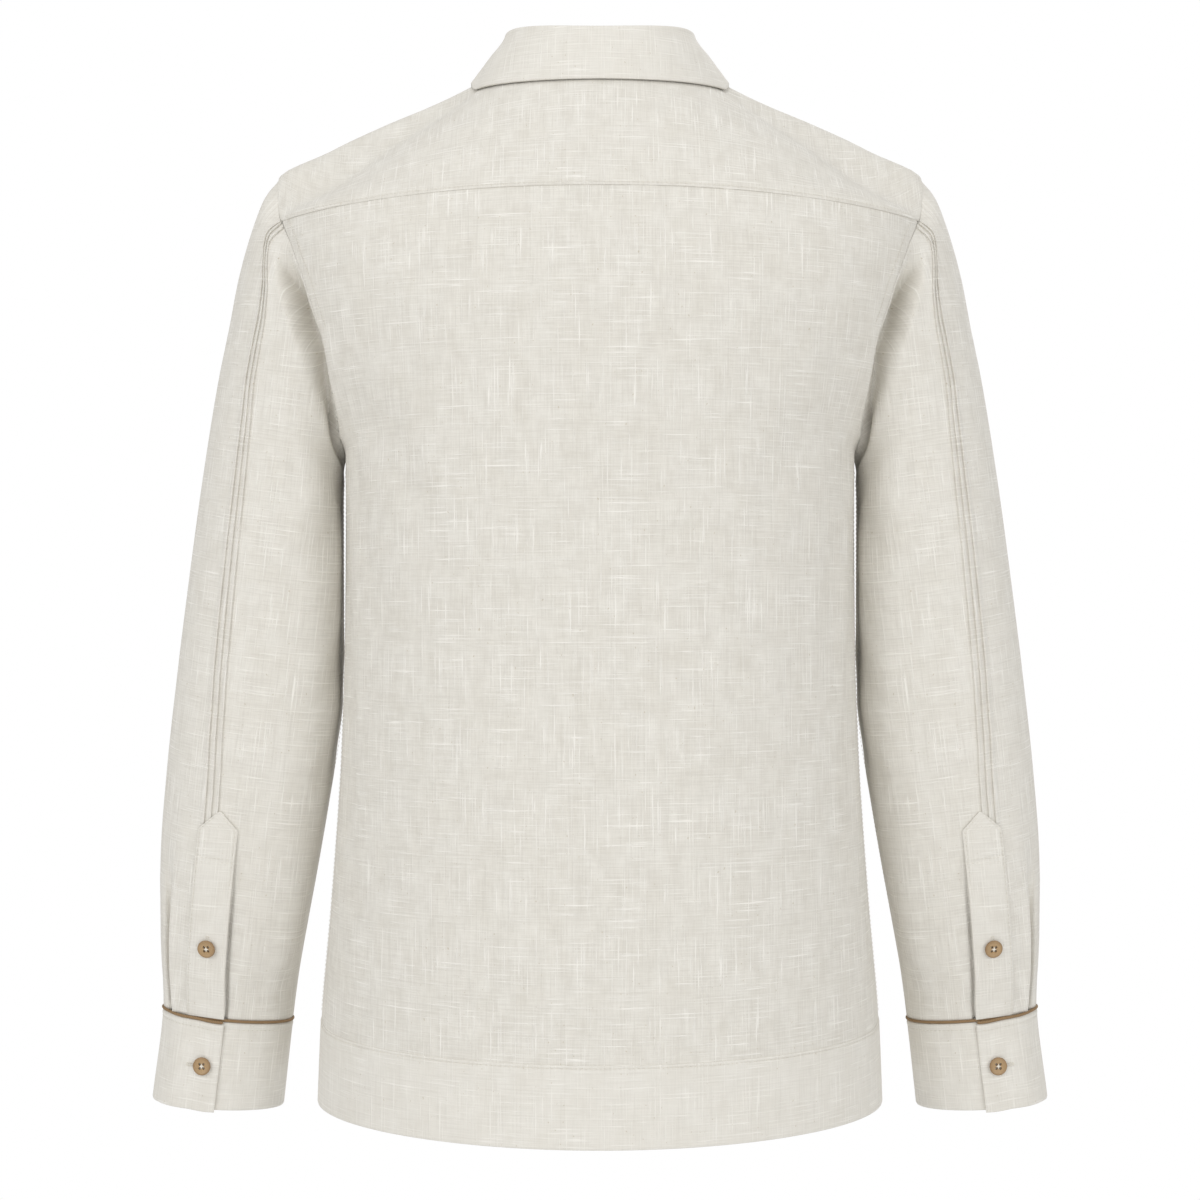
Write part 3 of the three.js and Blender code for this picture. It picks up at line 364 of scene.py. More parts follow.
def crease_depth(points, creases, form):
    """How deep the creases press each point in, in millimetres."""
    depth = np.zeros(points.shape[:-1])
    for angle0, row0, angle1, row1, width, deep in creases:
        t = np.linspace(0, 1, 14)
        bend = 2.5 * np.sin(np.pi * t) * (1 if deep > 0 else -1)
        line = form(lerp(angle0, angle1, t) + bend, lerp(row0, row1, t))
        ahead = line[1:] - line[:-1]
        near = points[..., None, :] - line[:-1]
        along = np.clip((near * ahead).sum(-1) / (ahead * ahead).sum(-1), 0, 1)
        gaps = np.linalg.norm(near - along[..., None] * ahead, axis=-1)
        best = gaps.argmin(axis=-1)[..., None]
        gap = np.take_along_axis(gaps, best, -1)[..., 0]
        share = (best[..., 0] + np.take_along_axis(along, best, -1)[..., 0]) / (len(t) - 1)
        fade = np.sin(np.pi * np.clip(share * 0.94 + 0.03, 0, 1)) ** 0.8
        side = gap / width
        depth += deep * fade * (np.exp(-side ** 2) - 0.35 * np.exp(-(side - 1.5) ** 2 / 0.4))
    return depth * settings().creases


def settings():
    return bpy.context.scene.shirt_sizes


def colours():
    return bpy.context.scene.shirt_colours


# ------------------------------------------------------------------ meshes from surfaces
def edge_steps(total, steps, middle):
    """Positions from one edge to the other: close together beside the edges, even between."""
    steps = np.asarray(steps, float)
    total = np.asarray(total, float)[..., None]
    inner = np.linspace(0, 1, middle + 2)[1:-1]
    between = steps[-1] + (total - 2 * steps[-1]) * inner
    return np.concatenate([np.broadcast_to(steps, total.shape[:-1] + steps.shape), between,
                           total - steps[::-1]], axis=-1)


def cumulative(points, axis):
    gaps = np.linalg.norm(np.diff(points, axis=axis), axis=-1)
    total = np.cumsum(gaps, axis=axis)
    zero = np.zeros_like(np.take(total, [0], axis=axis))
    return np.concatenate([zero, total], axis=axis)


def grid_piece(name, points, cloth, outward, material, thick, mirror=False, closed=False):
    """An object whose grid of points follows a surface. cloth holds each point's place on the flat cloth."""
    rows, columns = points.shape[:2]
    bm = bmesh.new()
    bmesh.ops.create_grid(bm, x_segments=columns - 1, y_segments=rows - 1, size=0.5)
    mesh = bpy.data.meshes.new(name)
    bm.to_mesh(mesh)
    flat = np.empty(len(mesh.vertices) * 3)
    mesh.vertices.foreach_get("co", flat)
    flat = flat.reshape(-1, 3)
    i = np.rint((flat[:, 0] + 0.5) * (columns - 1)).astype(int)
    j = np.rint((flat[:, 1] + 0.5) * (rows - 1)).astype(int)
    placed = points[j, i] * MM * FLIPS[mirror]
    mesh.vertices.foreach_set("co", placed.ravel())
    corner = np.empty(len(mesh.loops), int)
    mesh.loops.foreach_get("vertex_index", corner)
    layer = mesh.uv_layers.new(name="cloth")
    layer.data.foreach_set("uv", (cloth[j[corner], i[corner]] * MM).ravel())
    mesh.polygons.foreach_set("use_smooth", np.ones(len(mesh.polygons), bool))
    mesh.update()
    bm.clear()
    bm.from_mesh(mesh)
    if closed:
        bmesh.ops.remove_doubles(bm, verts=bm.verts, dist=1e-6)
    bm.faces.ensure_lookup_table()
    middle = (rows // 2, columns // 3)
    wanted = Vector(outward[middle] * FLIPS[mirror])
    seat = Vector(points[middle] * MM * FLIPS[mirror])
    nearest = min(bm.faces, key=lambda f: (f.calc_center_median() - seat).length_squared)
    nearest.normal_update()
    if nearest.normal.dot(wanted) < 0:
        bmesh.ops.reverse_faces(bm, faces=bm.faces)
    bm.to_mesh(mesh)
    bm.free()
    piece = bpy.data.objects.new(name, mesh)
    bpy.context.collection.objects.link(piece)
    mesh.materials.append(material)
    if thick:
        wall = piece.modifiers.new("wall", "SOLIDIFY")
        wall.thickness = thick
        wall.offset = -1
    return piece


def finish_piece(piece, slot, *nodes):
    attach(piece, "root")
    if nodes:
        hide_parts(*nodes)
    return piece


def cloth_piece(name, points, cloth, outward, material, thick, **kinds):
    """A sheet of cloth that stands for the solid of its name."""
    piece = finish_piece(grid_piece(name, points, cloth, outward, material, thick, **kinds), "linen", name)


def turned_edge(distance):
    """The cloth rolls down at an edge or into a seam."""
    return -settings().seam_dip / MM * bell(np.maximum(distance, 0), 0.75)


def sewn_edge(distance, stitch_at):
    """A turned-in seam allowance: the cloth stands a little proud as far as its line of stitches."""
    ridge = settings().seam_ridge / MM
    lift = ridge * smoothstep(distance / 1.6) * (1 - smoothstep((distance - stitch_at - 0.4) / 1.4))
    return lift - 0.32 * bell(distance - stitch_at, 0.55)


# ------------------------------------------------------------------ materials
def add_node(tree, kind, values=None, links=None, **attributes):
    """A shader node, its settings, its socket values and the sockets that feed it."""
    made = tree.nodes.new(kind)
    for key, value in attributes.items():
        setattr(made, key, value)
    for key, value in (values or {}).items():
        made.inputs[key].default_value = value
    for key, source in (links or {}).items():
        tree.links.new(source, made.inputs[key])
    return made


def new_material(name):
    made = bpy.data.materials.get(name)
    if made:
        return made, None, None
    made = bpy.data.materials.new(name)
    made.use_nodes = True
    made.node_tree.nodes.clear()
    shader = add_node(made.node_tree, "ShaderNodeBsdfPrincipled")
    output = add_node(made.node_tree, "ShaderNodeOutputMaterial")
    made.node_tree.links.new(shader.outputs["BSDF"], output.inputs["Surface"])
    return made, made.node_tree, shader


def threads(tree, place, across, along, low, high, turn=0.0, detail=2.0):
    """Long thin marks of noise, across and along in millimetres; turn is 0 for warp and 90 for weft."""
    wide, far = (along, across) if turn else (across, along)
    apart = {"Scale": (1000 / wide, 1000 / far, 1), "Location": (turn, 3.7 * turn, 0)}
    scaled = add_node(tree, "ShaderNodeMapping", apart, {"Vector": place})
    noise = add_node(tree, "ShaderNodeTexNoise", {"Scale": 1.0, "Detail": detail, "Roughness": 0.55},
                     {"Vector": scaled.outputs["Vector"]})
    return ranged(tree, noise.outputs["Fac"], low, high)


def ranged(tree, value, low, high, kind="SMOOTHSTEP"):
    """The share of the way from low to high that a value has gone."""
    return add_node(tree, "ShaderNodeMapRange", {"From Min": low, "From Max": high}, {"Value": value},
                    interpolation_type=kind).outputs["Result"]


def math_node(tree, operation, a, b):
    """A sum or product of two sockets or numbers."""
    made = add_node(tree, "ShaderNodeMath", operation=operation)
    for socket, value in zip(made.inputs, (a, b)):
        if hasattr(value, "node"):
            tree.links.new(value, socket)
        else:
            socket.default_value = value
    return made.outputs["Value"]


def mix_colour(tree, factor, a, b):
    """A colour between a and b, each a socket or a colour."""
    made = add_node(tree, "ShaderNodeMix", data_type="RGBA", blend_type="MIX")
    for index, value in ((0, factor), (6, a), (7, b)):
        if hasattr(value, "node"):
            tree.links.new(value, made.inputs[index])
        else:
            made.inputs[index].default_value = value if index == 0 else (*value, 1)
    return made.outputs[2]


def linen(name, slubs, relief, pale=0.0):
    """Plain-weave linen of slubbed yarn, washed and pressed: matt, with pale thick threads both ways.

    The yarns lie 0.6 mm apart, which is finer than a picture shows, so the grain is drawn at about 1 mm.
    Slubs are about 1 mm thick and 10 to 60 mm long. slubs is how strongly they show, pale how much lighter
    the cloth is.
    """
    made, tree, shader = new_material(name)
    if tree is None:
        return made
    tones = colours()
    place = add_node(tree, "ShaderNodeUVMap", uv_map="cloth").outputs["UV"]
    times = lambda first, second: math_node(tree, "MULTIPLY", first, second)
    plus = lambda first, second: math_node(tree, "ADD", first, second)
    warp = threads(tree, place, 1.15, 46, 0.25, 0.75)
    weft = threads(tree, place, 1.15, 40, 0.25, 0.75, turn=90)
    short_warp = threads(tree, place, 0.9, 12, 0.2, 0.8, turn=0, detail=3)
    short_weft = threads(tree, place, 0.9, 10, 0.2, 0.8, turn=90, detail=3)
    patches = threads(tree, place, 9, 16, 0.2, 0.8, detail=4)
    long_threads = times(plus(warp, weft), 0.5)
    short_threads = times(plus(short_warp, short_weft), 0.5)
    grain = times(plus(long_threads, short_threads), 0.5)
    mottled = plus(times(grain, 0.73), times(patches, 0.27))
    spread = ranged(tree, mottled, 0.5 - 0.25 / slubs, 0.5 + 0.25 / slubs, "LINEAR")
    dark, light = (tuple(lerp(np.array(tone), np.array(tones.slub), pale))
                   for tone in (tones.shade, tones.linen))
    warm = threads(tree, place, 22, 30, 0.3, 0.7, detail=2)
    base = mix_colour(tree, times(warm, 0.06), mix_colour(tree, spread, dark, light), tuple(tones.fleck))
    slub = ranged(tree, math_node(tree, "MAXIMUM", warp, weft), 0.78, 0.97)
    thin = ranged(tree, math_node(tree, "MINIMUM", warp, weft), 0.2, 0.03)
    darker = mix_colour(tree, times(thin, 0.5 * slubs), base, tuple(tones.shade))
    paler = mix_colour(tree, times(slub, 0.75 * slubs), darker, tuple(tones.slub))
    specks = threads(tree, place, 2.0, 2.8, 0.735, 0.765, detail=1)
    stained = mix_colour(tree, times(specks, 0.4), paler, tuple(tones.fleck))
    tree.links.new(stained, shader.inputs["Base Color"])
    height = plus(times(slub, 0.8), times(grain, 0.35))
    bump = add_node(tree, "ShaderNodeBump", {"Strength": relief, "Distance": 0.00035}, {"Height": height})
    tree.links.new(bump.outputs["Normal"], shader.inputs["Normal"])
    shader.inputs["Roughness"].default_value = 0.88
    shader.inputs["Specular IOR Level"].default_value = 0.25
    shader.inputs["Sheen Weight"].default_value = 0.12
    shader.inputs["Sheen Roughness"].default_value = 0.6
    return made


def shirt_linen():
    """The cloth as woven, in one layer."""
    return linen("Slubbed linen", 1.0, 0.55)


def sleeve_linen_painted_paler():
    """The same cloth, painted a shade paler than the body's as painted light, so that the sleeves show as
    bright as the back.
    """
    # The paler tone is painted light: a lighter copy of the body's linen, not a different cloth.
    return linen("Slubbed linen of the sleeves, painted paler", 1.0, 0.55, 0.1)


def faced_linen():
    """The same linen over an interlining, pressed smoother, as on collar, cuffs, plackets and band."""
    return linen("Interlined linen", 0.7, 0.4, 0.14)


def thread_cotton():
    """Mercerised cotton thread, a shade paler than the cloth."""
    made, tree, shader = new_material("Cotton sewing thread")
    if tree is None:
        return made
    place = add_node(tree, "ShaderNodeTexCoord").outputs["Object"]
    twist = add_node(tree, "ShaderNodeTexNoise", {"Scale": 2600.0, "Detail": 1.0}, {"Vector": place})
    pale = tuple(colours().thread)
    tone = mix_colour(tree, twist.outputs["Fac"], pale, tuple(v * 0.8 for v in pale))
    tree.links.new(tone, shader.inputs["Base Color"])
    shader.inputs["Roughness"].default_value = 0.6
    return made


def piping_cotton():
    """Bias-cut brown cotton over a cord: fine slanting twill about 0.7 mm apart."""
    made, tree, shader = new_material("Brown cotton piping")
    if tree is None:
        return made
    place = add_node(tree, "ShaderNodeUVMap", uv_map="cloth").outputs["UV"]
    turned = add_node(tree, "ShaderNodeMapping", {"Rotation": (0, 0, math.radians(38))}, {"Vector": place})
    twill = add_node(tree, "ShaderNodeTexWave", {"Scale": 1400 / 6.28, "Distortion": 1.2, "Detail": 2.0},
                     {"Vector": turned.outputs["Vector"]})
    worn = add_node(tree, "ShaderNodeTexNoise", {"Scale": 160.0, "Detail": 3.0}, {"Vector": place})
    brown = tuple(colours().piping)
    ribs = mix_colour(tree, twill.outputs["Fac"], tuple(v * 0.72 for v in brown), brown)
    tone = mix_colour(tree, math_node(tree, "MULTIPLY", worn.outputs["Fac"], 0.3), ribs,
                      tuple(colours().button))
    tree.links.new(tone, shader.inputs["Base Color"])
    bump = add_node(tree, "ShaderNodeBump", {"Strength": 0.4, "Distance": 0.0002},
                    {"Height": twill.outputs["Fac"]})
    tree.links.new(bump.outputs["Normal"], shader.inputs["Normal"])
    shader.inputs["Roughness"].default_value = 0.8
    return made


def button_resin():
    """Cast polyester resin made to look like horn: satin, faintly streaked, darker towards the rim."""
    made, tree, shader = new_material("Horn-coloured resin")
    if tree is None:
        return made
    place = add_node(tree, "ShaderNodeUVMap", uv_map="cloth")
    radius = add_node(tree, "ShaderNodeSeparateXYZ", links={"Vector": place.outputs["UV"]}).outputs["X"]
    rim = ranged(tree, radius, 0.0045, 0.0062, "LINEAR")
    spot = add_node(tree, "ShaderNodeTexCoord").outputs["Object"]
    streaks = add_node(tree, "ShaderNodeMapping", {"Scale": (300, 300, 110)}, {"Vector": spot})
    horn = add_node(tree, "ShaderNodeTexNoise", {"Scale": 1.0, "Detail": 3.0},
                    {"Vector": streaks.outputs["Vector"]})
    face = mix_colour(tree, math_node(tree, "MULTIPLY", horn.outputs["Fac"], 0.55), tuple(colours().button),
                      tuple(colours().rim))
    tone = mix_colour(tree, math_node(tree, "MULTIPLY", rim, 0.75), face, tuple(colours().rim))
    tree.links.new(tone, shader.inputs["Base Color"])
    shader.inputs["Roughness"].default_value = 0.42
    shader.inputs["IOR"].default_value = 1.52
    return made


# ------------------------------------------------------------------ body panels
# Distances from an edge at which its columns stand, close together over the turned seam and its stitches.
EDGE = (0, 0.35, 0.8, 1.4, 2.3, 3.8, 5.4, 6.6, 7.2, 7.7, 8.2, 8.8, 9.6, 11.2, 13.5)
SHORT_EDGE = (0, 0.3, 0.7, 1.1, 1.5, 1.9, 2.4, 3.2, 4.6)


def body_rows(first, last, steps, middle, angle=0.0):
    """Ring numbers from one row to another, and how far up each is along the line at that angle."""
    sample = np.linspace(first, last, 400)
    gone = cumulative(body_at(angle, sample), 0)
    place = edge_steps(gone[-1], steps, middle)
    return np.interp(place, gone, sample), place


def body_patch(rows, left, right, steps, middle):
    """Angles, ring numbers, distances from the left edge, and widths of a patch of the body."""
    share = np.linspace(0, 1, 240)
    sample = left[:, None] + (right - left)[:, None] * share
    gone = cumulative(body_at(sample, rows[:, None]), 1)
    place = edge_steps(gone[:, -1], steps, middle)
    angle = np.stack([np.interp(p, g, s) for p, g, s in zip(place, gone, sample)])
    row = np.broadcast_to(rows[:, None], angle.shape)
    return angle, row, place, gone[:, -1:]


def shoulder_cloth(points):
    """Each point's place on the flat yoke: across by its distance from the middle, up over the shoulder."""
    x, y, z = np.abs(points[..., 0]), points[..., 1], points[..., 2]
    wide, back, _, n, heights = BODY["yoke"]
    seam_y = back * np.clip(1 - (x / wide) ** n, 0, 1) ** (1 / n)
    seam_z = lerp(heights[0], heights[1], (x / wide) ** 2)
    ridge = list(BODY.values())[:YOKE - 1:-1]
    ridge_z = np.interp(x, [ring[0] for ring in ridge], [ring[4][2] for ring in ridge])
    before = np.hypot(seam_y, ridge_z - seam_z) + np.hypot(y, ridge_z - z)
    up = np.where(y > 0, np.hypot(seam_y - y, z - seam_z), before)
    return np.stack([points[..., 0] * (1 + 0.1 * (x / 200) ** 2), up], axis=-1)


def body_piece(name, patch, heights, up, material, thick, creases=(), mirror=False, from_end=False,
               over_shoulder=False):
    """One cloth piece of the body: its patch, with heights over the form, in millimetres."""
    angle, row, place, total = patch
    base = body_at(angle, row)
    normal = body_normal(angle, row)
    lift = heights - (crease_depth(base, creases, body_at) if creases else 0)
    points = base + normal * lift[..., None]
    across = (total - place) if from_end else (place - total / 2)
    cloth = np.stack([across, np.broadcast_to(up[:, None], place.shape)], axis=-1)
    cloth = shoulder_cloth(base) if over_shoulder else cloth
    cloth_piece(name, points, cloth, normal, material, thick, mirror=mirror)


class SHIRT_OT_back(bpy.types.Operator):
    """Build the back, from the band to the yoke seam"""
    bl_idname = "shirt.back"
    bl_label = "Back"

    def execute(self, context):
        rows, up = body_rows(BAND - 0.05, YOKE + 0.15, SHORT_EDGE, 96)
        edge = np.where(rows > ARMPIT, armhole(np.minimum(rows, YOKE), False), 90)
        patch = body_patch(rows, -edge, edge, EDGE, settings().columns)
        place, width = patch[2], patch[3]
        to_yoke = (np.interp(YOKE, rows, up) - up)[:, None]
        under_yoke = -0.6 * smoothstep((0.3 - to_yoke) / 0.8)
        heights = under_yoke + np.zeros_like(place)
        for distance in (place, width - place):
            heights += 0.3 * turned_edge(distance) + sewn_edge(distance, ALLOWANCE)
            heights += edge_lift(rows)[:, None] * bell(distance, 22)
        body_piece("back", patch, heights, up, shirt_linen(), settings().cloth, BACK_CREASES)
        return {"FINISHED"}


class SHIRT_OT_yoke(bpy.types.Operator):
    """Build the yoke over both shoulders"""
    bl_idname = "shirt.yoke"
    bl_label = "Yoke"

    def execute(self, context):
        rows, up = body_rows(YOKE, NECK, SHORT_EDGE, 26)
        edge = np.full(rows.shape, float(YOKE_FRONT_ANGLE))
        patch = body_patch(rows, -edge, edge, SHORT_EDGE, 110)
        angle, _, place, width = patch
        turn = np.abs(angle)
        from_top = np.abs(turn - 90)
        lower = np.broadcast_to(up[:, None], place.shape) * lerp(1, 0.82, smoothstep((turn - 60) / 30))
        seam = np.where(from_top < 18.5, 0.1 * turned_edge(lower) + 0.5 * sewn_edge(lower, ALLOWANCE), 0)
        seam -= drawn_in(lower, 14, from_top / SHOULDER_TURN)
        behind = smoothstep((YOKE_ARM_ANGLE + 2 - turn) / 4)
        fold = 0.2 * (1 - smoothstep(lower / 9)) + 0.25 * bell(lower - 1.2, 0.8)
        lap = behind * (fold - 0.15 * bell(lower - 2.8, 0.5))
        heights = seam * (1 - behind) + lap
        for distance in (place, width - place):
            heights += 0.4 * turned_edge(distance) + sewn_edge(distance, ALLOWANCE)
        body_piece("yoke", patch, heights, up, shirt_linen(), settings().cloth, YOKE_CREASES,
                   over_shoulder=True)
        return {"FINISHED"}


def build_front(name, stop, mirror):
    """One front, from the armhole and side seam to the angle that stop gives for each row."""
    rows, up = body_rows(BAND - 0.05, NECK, SHORT_EDGE, 110, angle=150)
    edge = np.where(rows > ARMPIT, armhole(np.minimum(rows, YOKE), True), 90)
    edge = np.where(rows > YOKE, YOKE_FRONT_ANGLE - 2.0 * smoothstep((rows - YOKE) * 4), edge)
    patch = body_patch(rows, edge, stop(rows), EDGE, 44)
    place = patch[2]
    beside_arm = smoothstep((YOKE - rows) * 6)[:, None]
    heights = beside_arm * (0.4 * turned_edge(place) + sewn_edge(place, ALLOWANCE))
    heights -= (1 - beside_arm) * 1.15 * smoothstep((4.2 - place) / 1.4)
    body_piece(name, patch, heights, up, shirt_linen(), settings().cloth, FRONT_CREASES, mirror,
               from_end=True)


class SHIRT_OT_fronts(bpy.types.Operator):
    """Build both fronts, the right one running under the left"""
    bl_idname = "shirt.fronts"
    bl_label = "Fronts"

    def execute(self, context):
        build_front("front_left", lambda rows: 180 - front_angle(rows, LEFT_STOP), False)
        build_front("front_right", lambda rows: 180 + front_angle(rows, RIGHT_STOP), True)
        return {"FINISHED"}


class SHIRT_OT_front_placket(bpy.types.Operator):
    """Build the buttonhole strip down the front"""
    bl_idname = "shirt.front_placket"
    bl_label = "Front placket"

    def execute(self, context):
        rows, up = body_rows(0.02, 15.93, SHORT_EDGE, 120, angle=180)
        edge = front_angle(rows, STRIP_HALF)
        patch = body_patch(rows, 180 - edge, 180 + edge, SHORT_EDGE, 12)
        place, width = patch[2], patch[3]
        heights = np.full(place.shape, STRIP_LIFT)
        for distance in (place, width - place):
            heights += 0.6 * turned_edge(distance) - 0.22 * bell(distance - 5.0, 0.6)
        for distance in (up[:, None], (up[-1] - up)[:, None]):
            heights = heights + 0.6 * turned_edge(distance)
        body_piece("front_placket", patch, heights, up, faced_linen(), settings().cloth)
        return {"FINISHED"}


class SHIRT_OT_hem_band(bpy.types.Operator):
    """Build the band round the hem"""
    bl_idname = "shirt.hem_band"
    bl_label = "Hem band"

    def execute(self, context):
        rows, up = body_rows(HEM, BAND, SHORT_EDGE, 16)
        side = np.full(rows.shape, 90.0)
        parts = {
            "hem_band_back": (-side, side, 90),
            "hem_band_left": (side, 180 - front_angle(rows, LEFT_STOP), 44),
            "hem_band_right": (180 - front_angle(rows, RIGHT_STOP), side + 180, 44),
        }
        for name, (left, right, middle) in parts.items():
            patch = body_patch(rows, left, right, SHORT_EDGE, middle)
            place, width = patch[2], patch[3]
            upper = (up[-1] - up)[:, None]
            heights = np.full(place.shape, BAND_LIFT) + 0.7 * turned_edge(up[:, None])
            heights = heights + 0.45 * turned_edge(upper)
            heights = heights - 0.24 * bell(upper - 1.9, 0.5)
            for distance in (place, width - place):
                heights = heights + turned_edge(distance)
            body_piece(name, patch, heights, up, faced_linen(), settings().doubled)
        return {"FINISHED"}


# ------------------------------------------------------------------ collar
LEAF_EDGE = ((0, 15.52), (60, 15.48), (90, 15.47), (115, 15.2), (136, 14.7), (158, 13.9))
LEAF_ROLL = ((-2.4, 2.3), (-0.4, 2.3), (1.4, 1.2), (2.4, -1.6))


def outward_of_fold(angle):
    run = unit(ring_at(FOLD, angle + 1) - ring_at(FOLD, angle - 1))
    away = unit(np.stack([-run[..., 1], run[..., 0], np.zeros_like(run[..., 0])], axis=-1))
    return away, np.cross(run, away)


def stand_points(height, angle):
    base, fold = body_at(angle, NECK), ring_at(FOLD, angle)
    away, _ = outward_of_fold(angle)
    under = 1.9 * smoothstep((-angle - 156) / 10)
    points = lerp(base, fold, height[..., None]) - away * (1.1 + under)[..., None]
    points[..., 2] -= 0.8 * (1 - smoothstep(height * 4))
    return points, away


def leaf_points(share, angles):
    """The leaf from its landed edge (0) over the fold (1), one column an angle share from -1 to 1."""
    ends = [line[0] for line in LEAF_EDGE]
    landing = share * ends[-1]
    row = curve(ends, [line[1] for line in LEAF_EDGE], np.abs(landing))
    landed = body_at(landing, row) + body_normal(landing, row) * 2.4
    turn = share * 172
    away, above = outward_of_fold(turn)
    roll = [ring_at(FOLD, turn) + away * out + above * up for out, up in LEAF_ROLL]
    out = np.stack([np.sin(np.radians(landing)), np.cos(np.radians(landing)), np.zeros_like(landing)], axis=-1)
    between = [lerp(roll[-1], landed, t) + out * bulge for t, bulge in ((0.7, 0.7), (0.35, 1.0))]
    stations = np.stack([landed, *between, *reversed(roll)])
    knots = np.array([0, 0.3, 0.62, 0.90, 0.94, 0.97, 1.0])
    at = np.broadcast_to(angles[:, None], (len(angles), len(share)))
    return np.stack([curve(knots, stations[..., k].T[None], at) for k in range(3)], axis=-1)


class SHIRT_OT_collar(bpy.types.Operator):
    """Build the collar stand and the leaf turned down over it"""
    bl_idname = "shirt.collar"
    bl_label = "Collar"

    def execute(self, context):
        start = 180 + math.degrees(math.asin(13 / FOLD[0]))
        angle, height = np.meshgrid(np.linspace(-start, start, 150), np.linspace(0, 1, 14))
        points, away = stand_points(height, angle)
        cloth = np.stack([cumulative(points, 1), cumulative(points, 0)], axis=-1)
        cloth_piece("collar_stand", points, cloth, away, faced_linen(), 1.4 * MM)
        share = np.sin(np.linspace(-1, 1, 161) * 1.35) / math.sin(1.35)
        stations = [np.linspace(0, 0.12, 10), np.linspace(0.16, 0.86, 22), np.linspace(0.88, 1, 14)]
        points = leaf_points(share, np.concatenate(stations))
        down, across = np.gradient(points, axis=0), np.gradient(points, axis=1)
        normal = unit(np.cross(down, across))
        from_edge, from_end = cumulative(points, 0), cumulative(points, 1)
        ends = np.minimum(from_end, from_end[:, -1:] - from_end)
        open_edge = np.minimum(from_edge, ends)
        lift = 0.5 * turned_edge(open_edge) - 0.14 * bell(open_edge - 5, 0.8)
        points = points + normal * lift[..., None]
        middle = from_end[:, -1:] / 2
        cloth = np.stack([from_end - middle, from_edge], axis=-1)
        cloth_piece("collar_leaf", points, cloth, normal, faced_linen(), 1.6 * MM)
        return {"FINISHED"}


# ------------------------------------------------------------------ sleeves
TUCK_SHAPE = (
    (-4.35, 0.02), (-3.6, 0.25), (-2.4, 0.62), (-1.2, 0.92), (-0.45, 1.05), (-0.05, 0.95),
    (-0.12, 0.55), (-0.5, 0.18), (-0.3, -0.15),
)
# The pleat, from the cloth under it to the cloth over it: share of the outside, height, and sinking.
PLEAT_SHAPE = (
    (0.33, 0, 0), (0.39, 0, 0.01), (0.45, 0, 0.05), (0.5, 0, 0.16), (0.545, 0, 0.34),
    (0.585, 0, 0.55), (0.625, 0, 0.76), (0.665, 0, 0.91), (0.705, 0, 0.98), (0.745, 0, 1.0),
    (0.752, 0, 0.9), (0.735, 0, 0.5), (0.7, 0, 0.15), (0.668, 0.4, 0), (0.655, 0.75, 0),
    (0.66, 0.97, 0), (0.678, 1.0, 0), (0.705, 0.9, 0), (0.735, 0.68, 0), (0.77, 0.38, 0),
    (0.81, 0.1, 0),
)


def sleeve_columns():
    """One entry a column: step on the armhole, kind, place, height, place once folded, and sinking.

    The place is a share of the outside, or millimetres from the innermost tuck's fold. A tuck's place once
    folded is its number."""
    shares, steps = (0, 0.3, PLEAT_SHARE, 0.82, 1), (0, 1, 1.6, 2.3, 2.6)
    plain = [(f, 0.0, f, 0.0) for f in (0, 0.07, 0.14, 0.21, 0.27)]
    flat = np.linspace(0.33, 0.815, len(PLEAT_SHAPE))
    plain += [(float(f), h, folded, sink) for f, (folded, h, sink) in zip(flat, PLEAT_SHAPE)]
    plain += [(f, 0.0, f, 0.0) for f in (0.85, 0.89, 0.94, 0.98)]
    columns = [(float(np.interp(f, shares, steps)), "outside", f, h, folded, sink)
               for f, h, folded, sink in plain]
    for fold, (first, last) in ((2, (2.62, 2.88)), (1, (2.9, 3.1)), (0, (3.12, 3.34))):
        for x, h in TUCK_SHAPE:
            step = float(np.interp(x, [-4.4, 0], [first, last]))
            columns.append((step, "tuck", x - fold * TUCK_PITCH, h, fold, 0))
    inside = np.concatenate([[0.005, 0.013, 0.028, 0.05, 0.075], np.linspace(0.1, 1, 66)])
    columns += [(float(np.interp(f, [0, 0.1, 1], [3.35, 4, 13])), "inside", float(f), 0, 0, 0) for f in inside]
    columns += [(float(k), "front", 0, 0, 0, 0) for k in np.linspace(13, 26, 46)[1:]]
    return columns


def pleated(rows):
    """How far the pleat is folded: not at all above the elbow, wholly at the cuff."""
    return smoothstep((rows - PLEAT_TOP) / PLEAT_RUN)


def column_angles(columns, rows):
    """The angle of every column on every row, below the cap."""
    fold = column(SLEEVE, 7, rows)
    scale = per_degree(fold, rows)
    outside = fold - (3 * TUCK_PITCH - TUCK_STEP) / scale
    angles = np.empty((len(rows), len(columns)))
    for i, (step, kind, value, _, folded, _) in enumerate(columns):
        if kind == "outside":
            angles[:, i] = lerp(value, folded, pleated(rows)) * outside
        elif kind == "tuck":
            angles[:, i] = fold + value / scale
        elif kind == "inside":
            angles[:, i] = lerp(fold, 180, value)
        else:
            angles[:, i] = 180 + 180 * (step - 13) / 13
    return angles


def sleeve_form(columns, rows):
    """Base points of the sleeve, starting at the armhole itself, and the angle of each."""
    steps = np.array([c[0] for c in columns])
    seam_angle, off = seam_on_sleeve(steps)
    keep = (np.clip(1 - rows / CAP_ROWS, 0, 1) ** 2)[:, None]
    angles = lerp(column_angles(columns, rows), seam_angle[None], keep)
    points = sleeve_at(angles, rows[:, None]) + off[None] * keep[..., None]
    return points, angles


SLEEVE_END = row_past(CUFF_SEAM, -1.0)


VALLEY_BEHIND, VALLEY_BEFORE = (25, 15), 13    # depth of the sleeve's fall beside the armhole


def valley(gap, bottom, fall):
    """A fold that is deepest at one distance from the seam, and fades out over another."""
    return smoothstep(gap / bottom) * np.exp(-(np.maximum(gap - bottom, 0) / fall) ** 2)


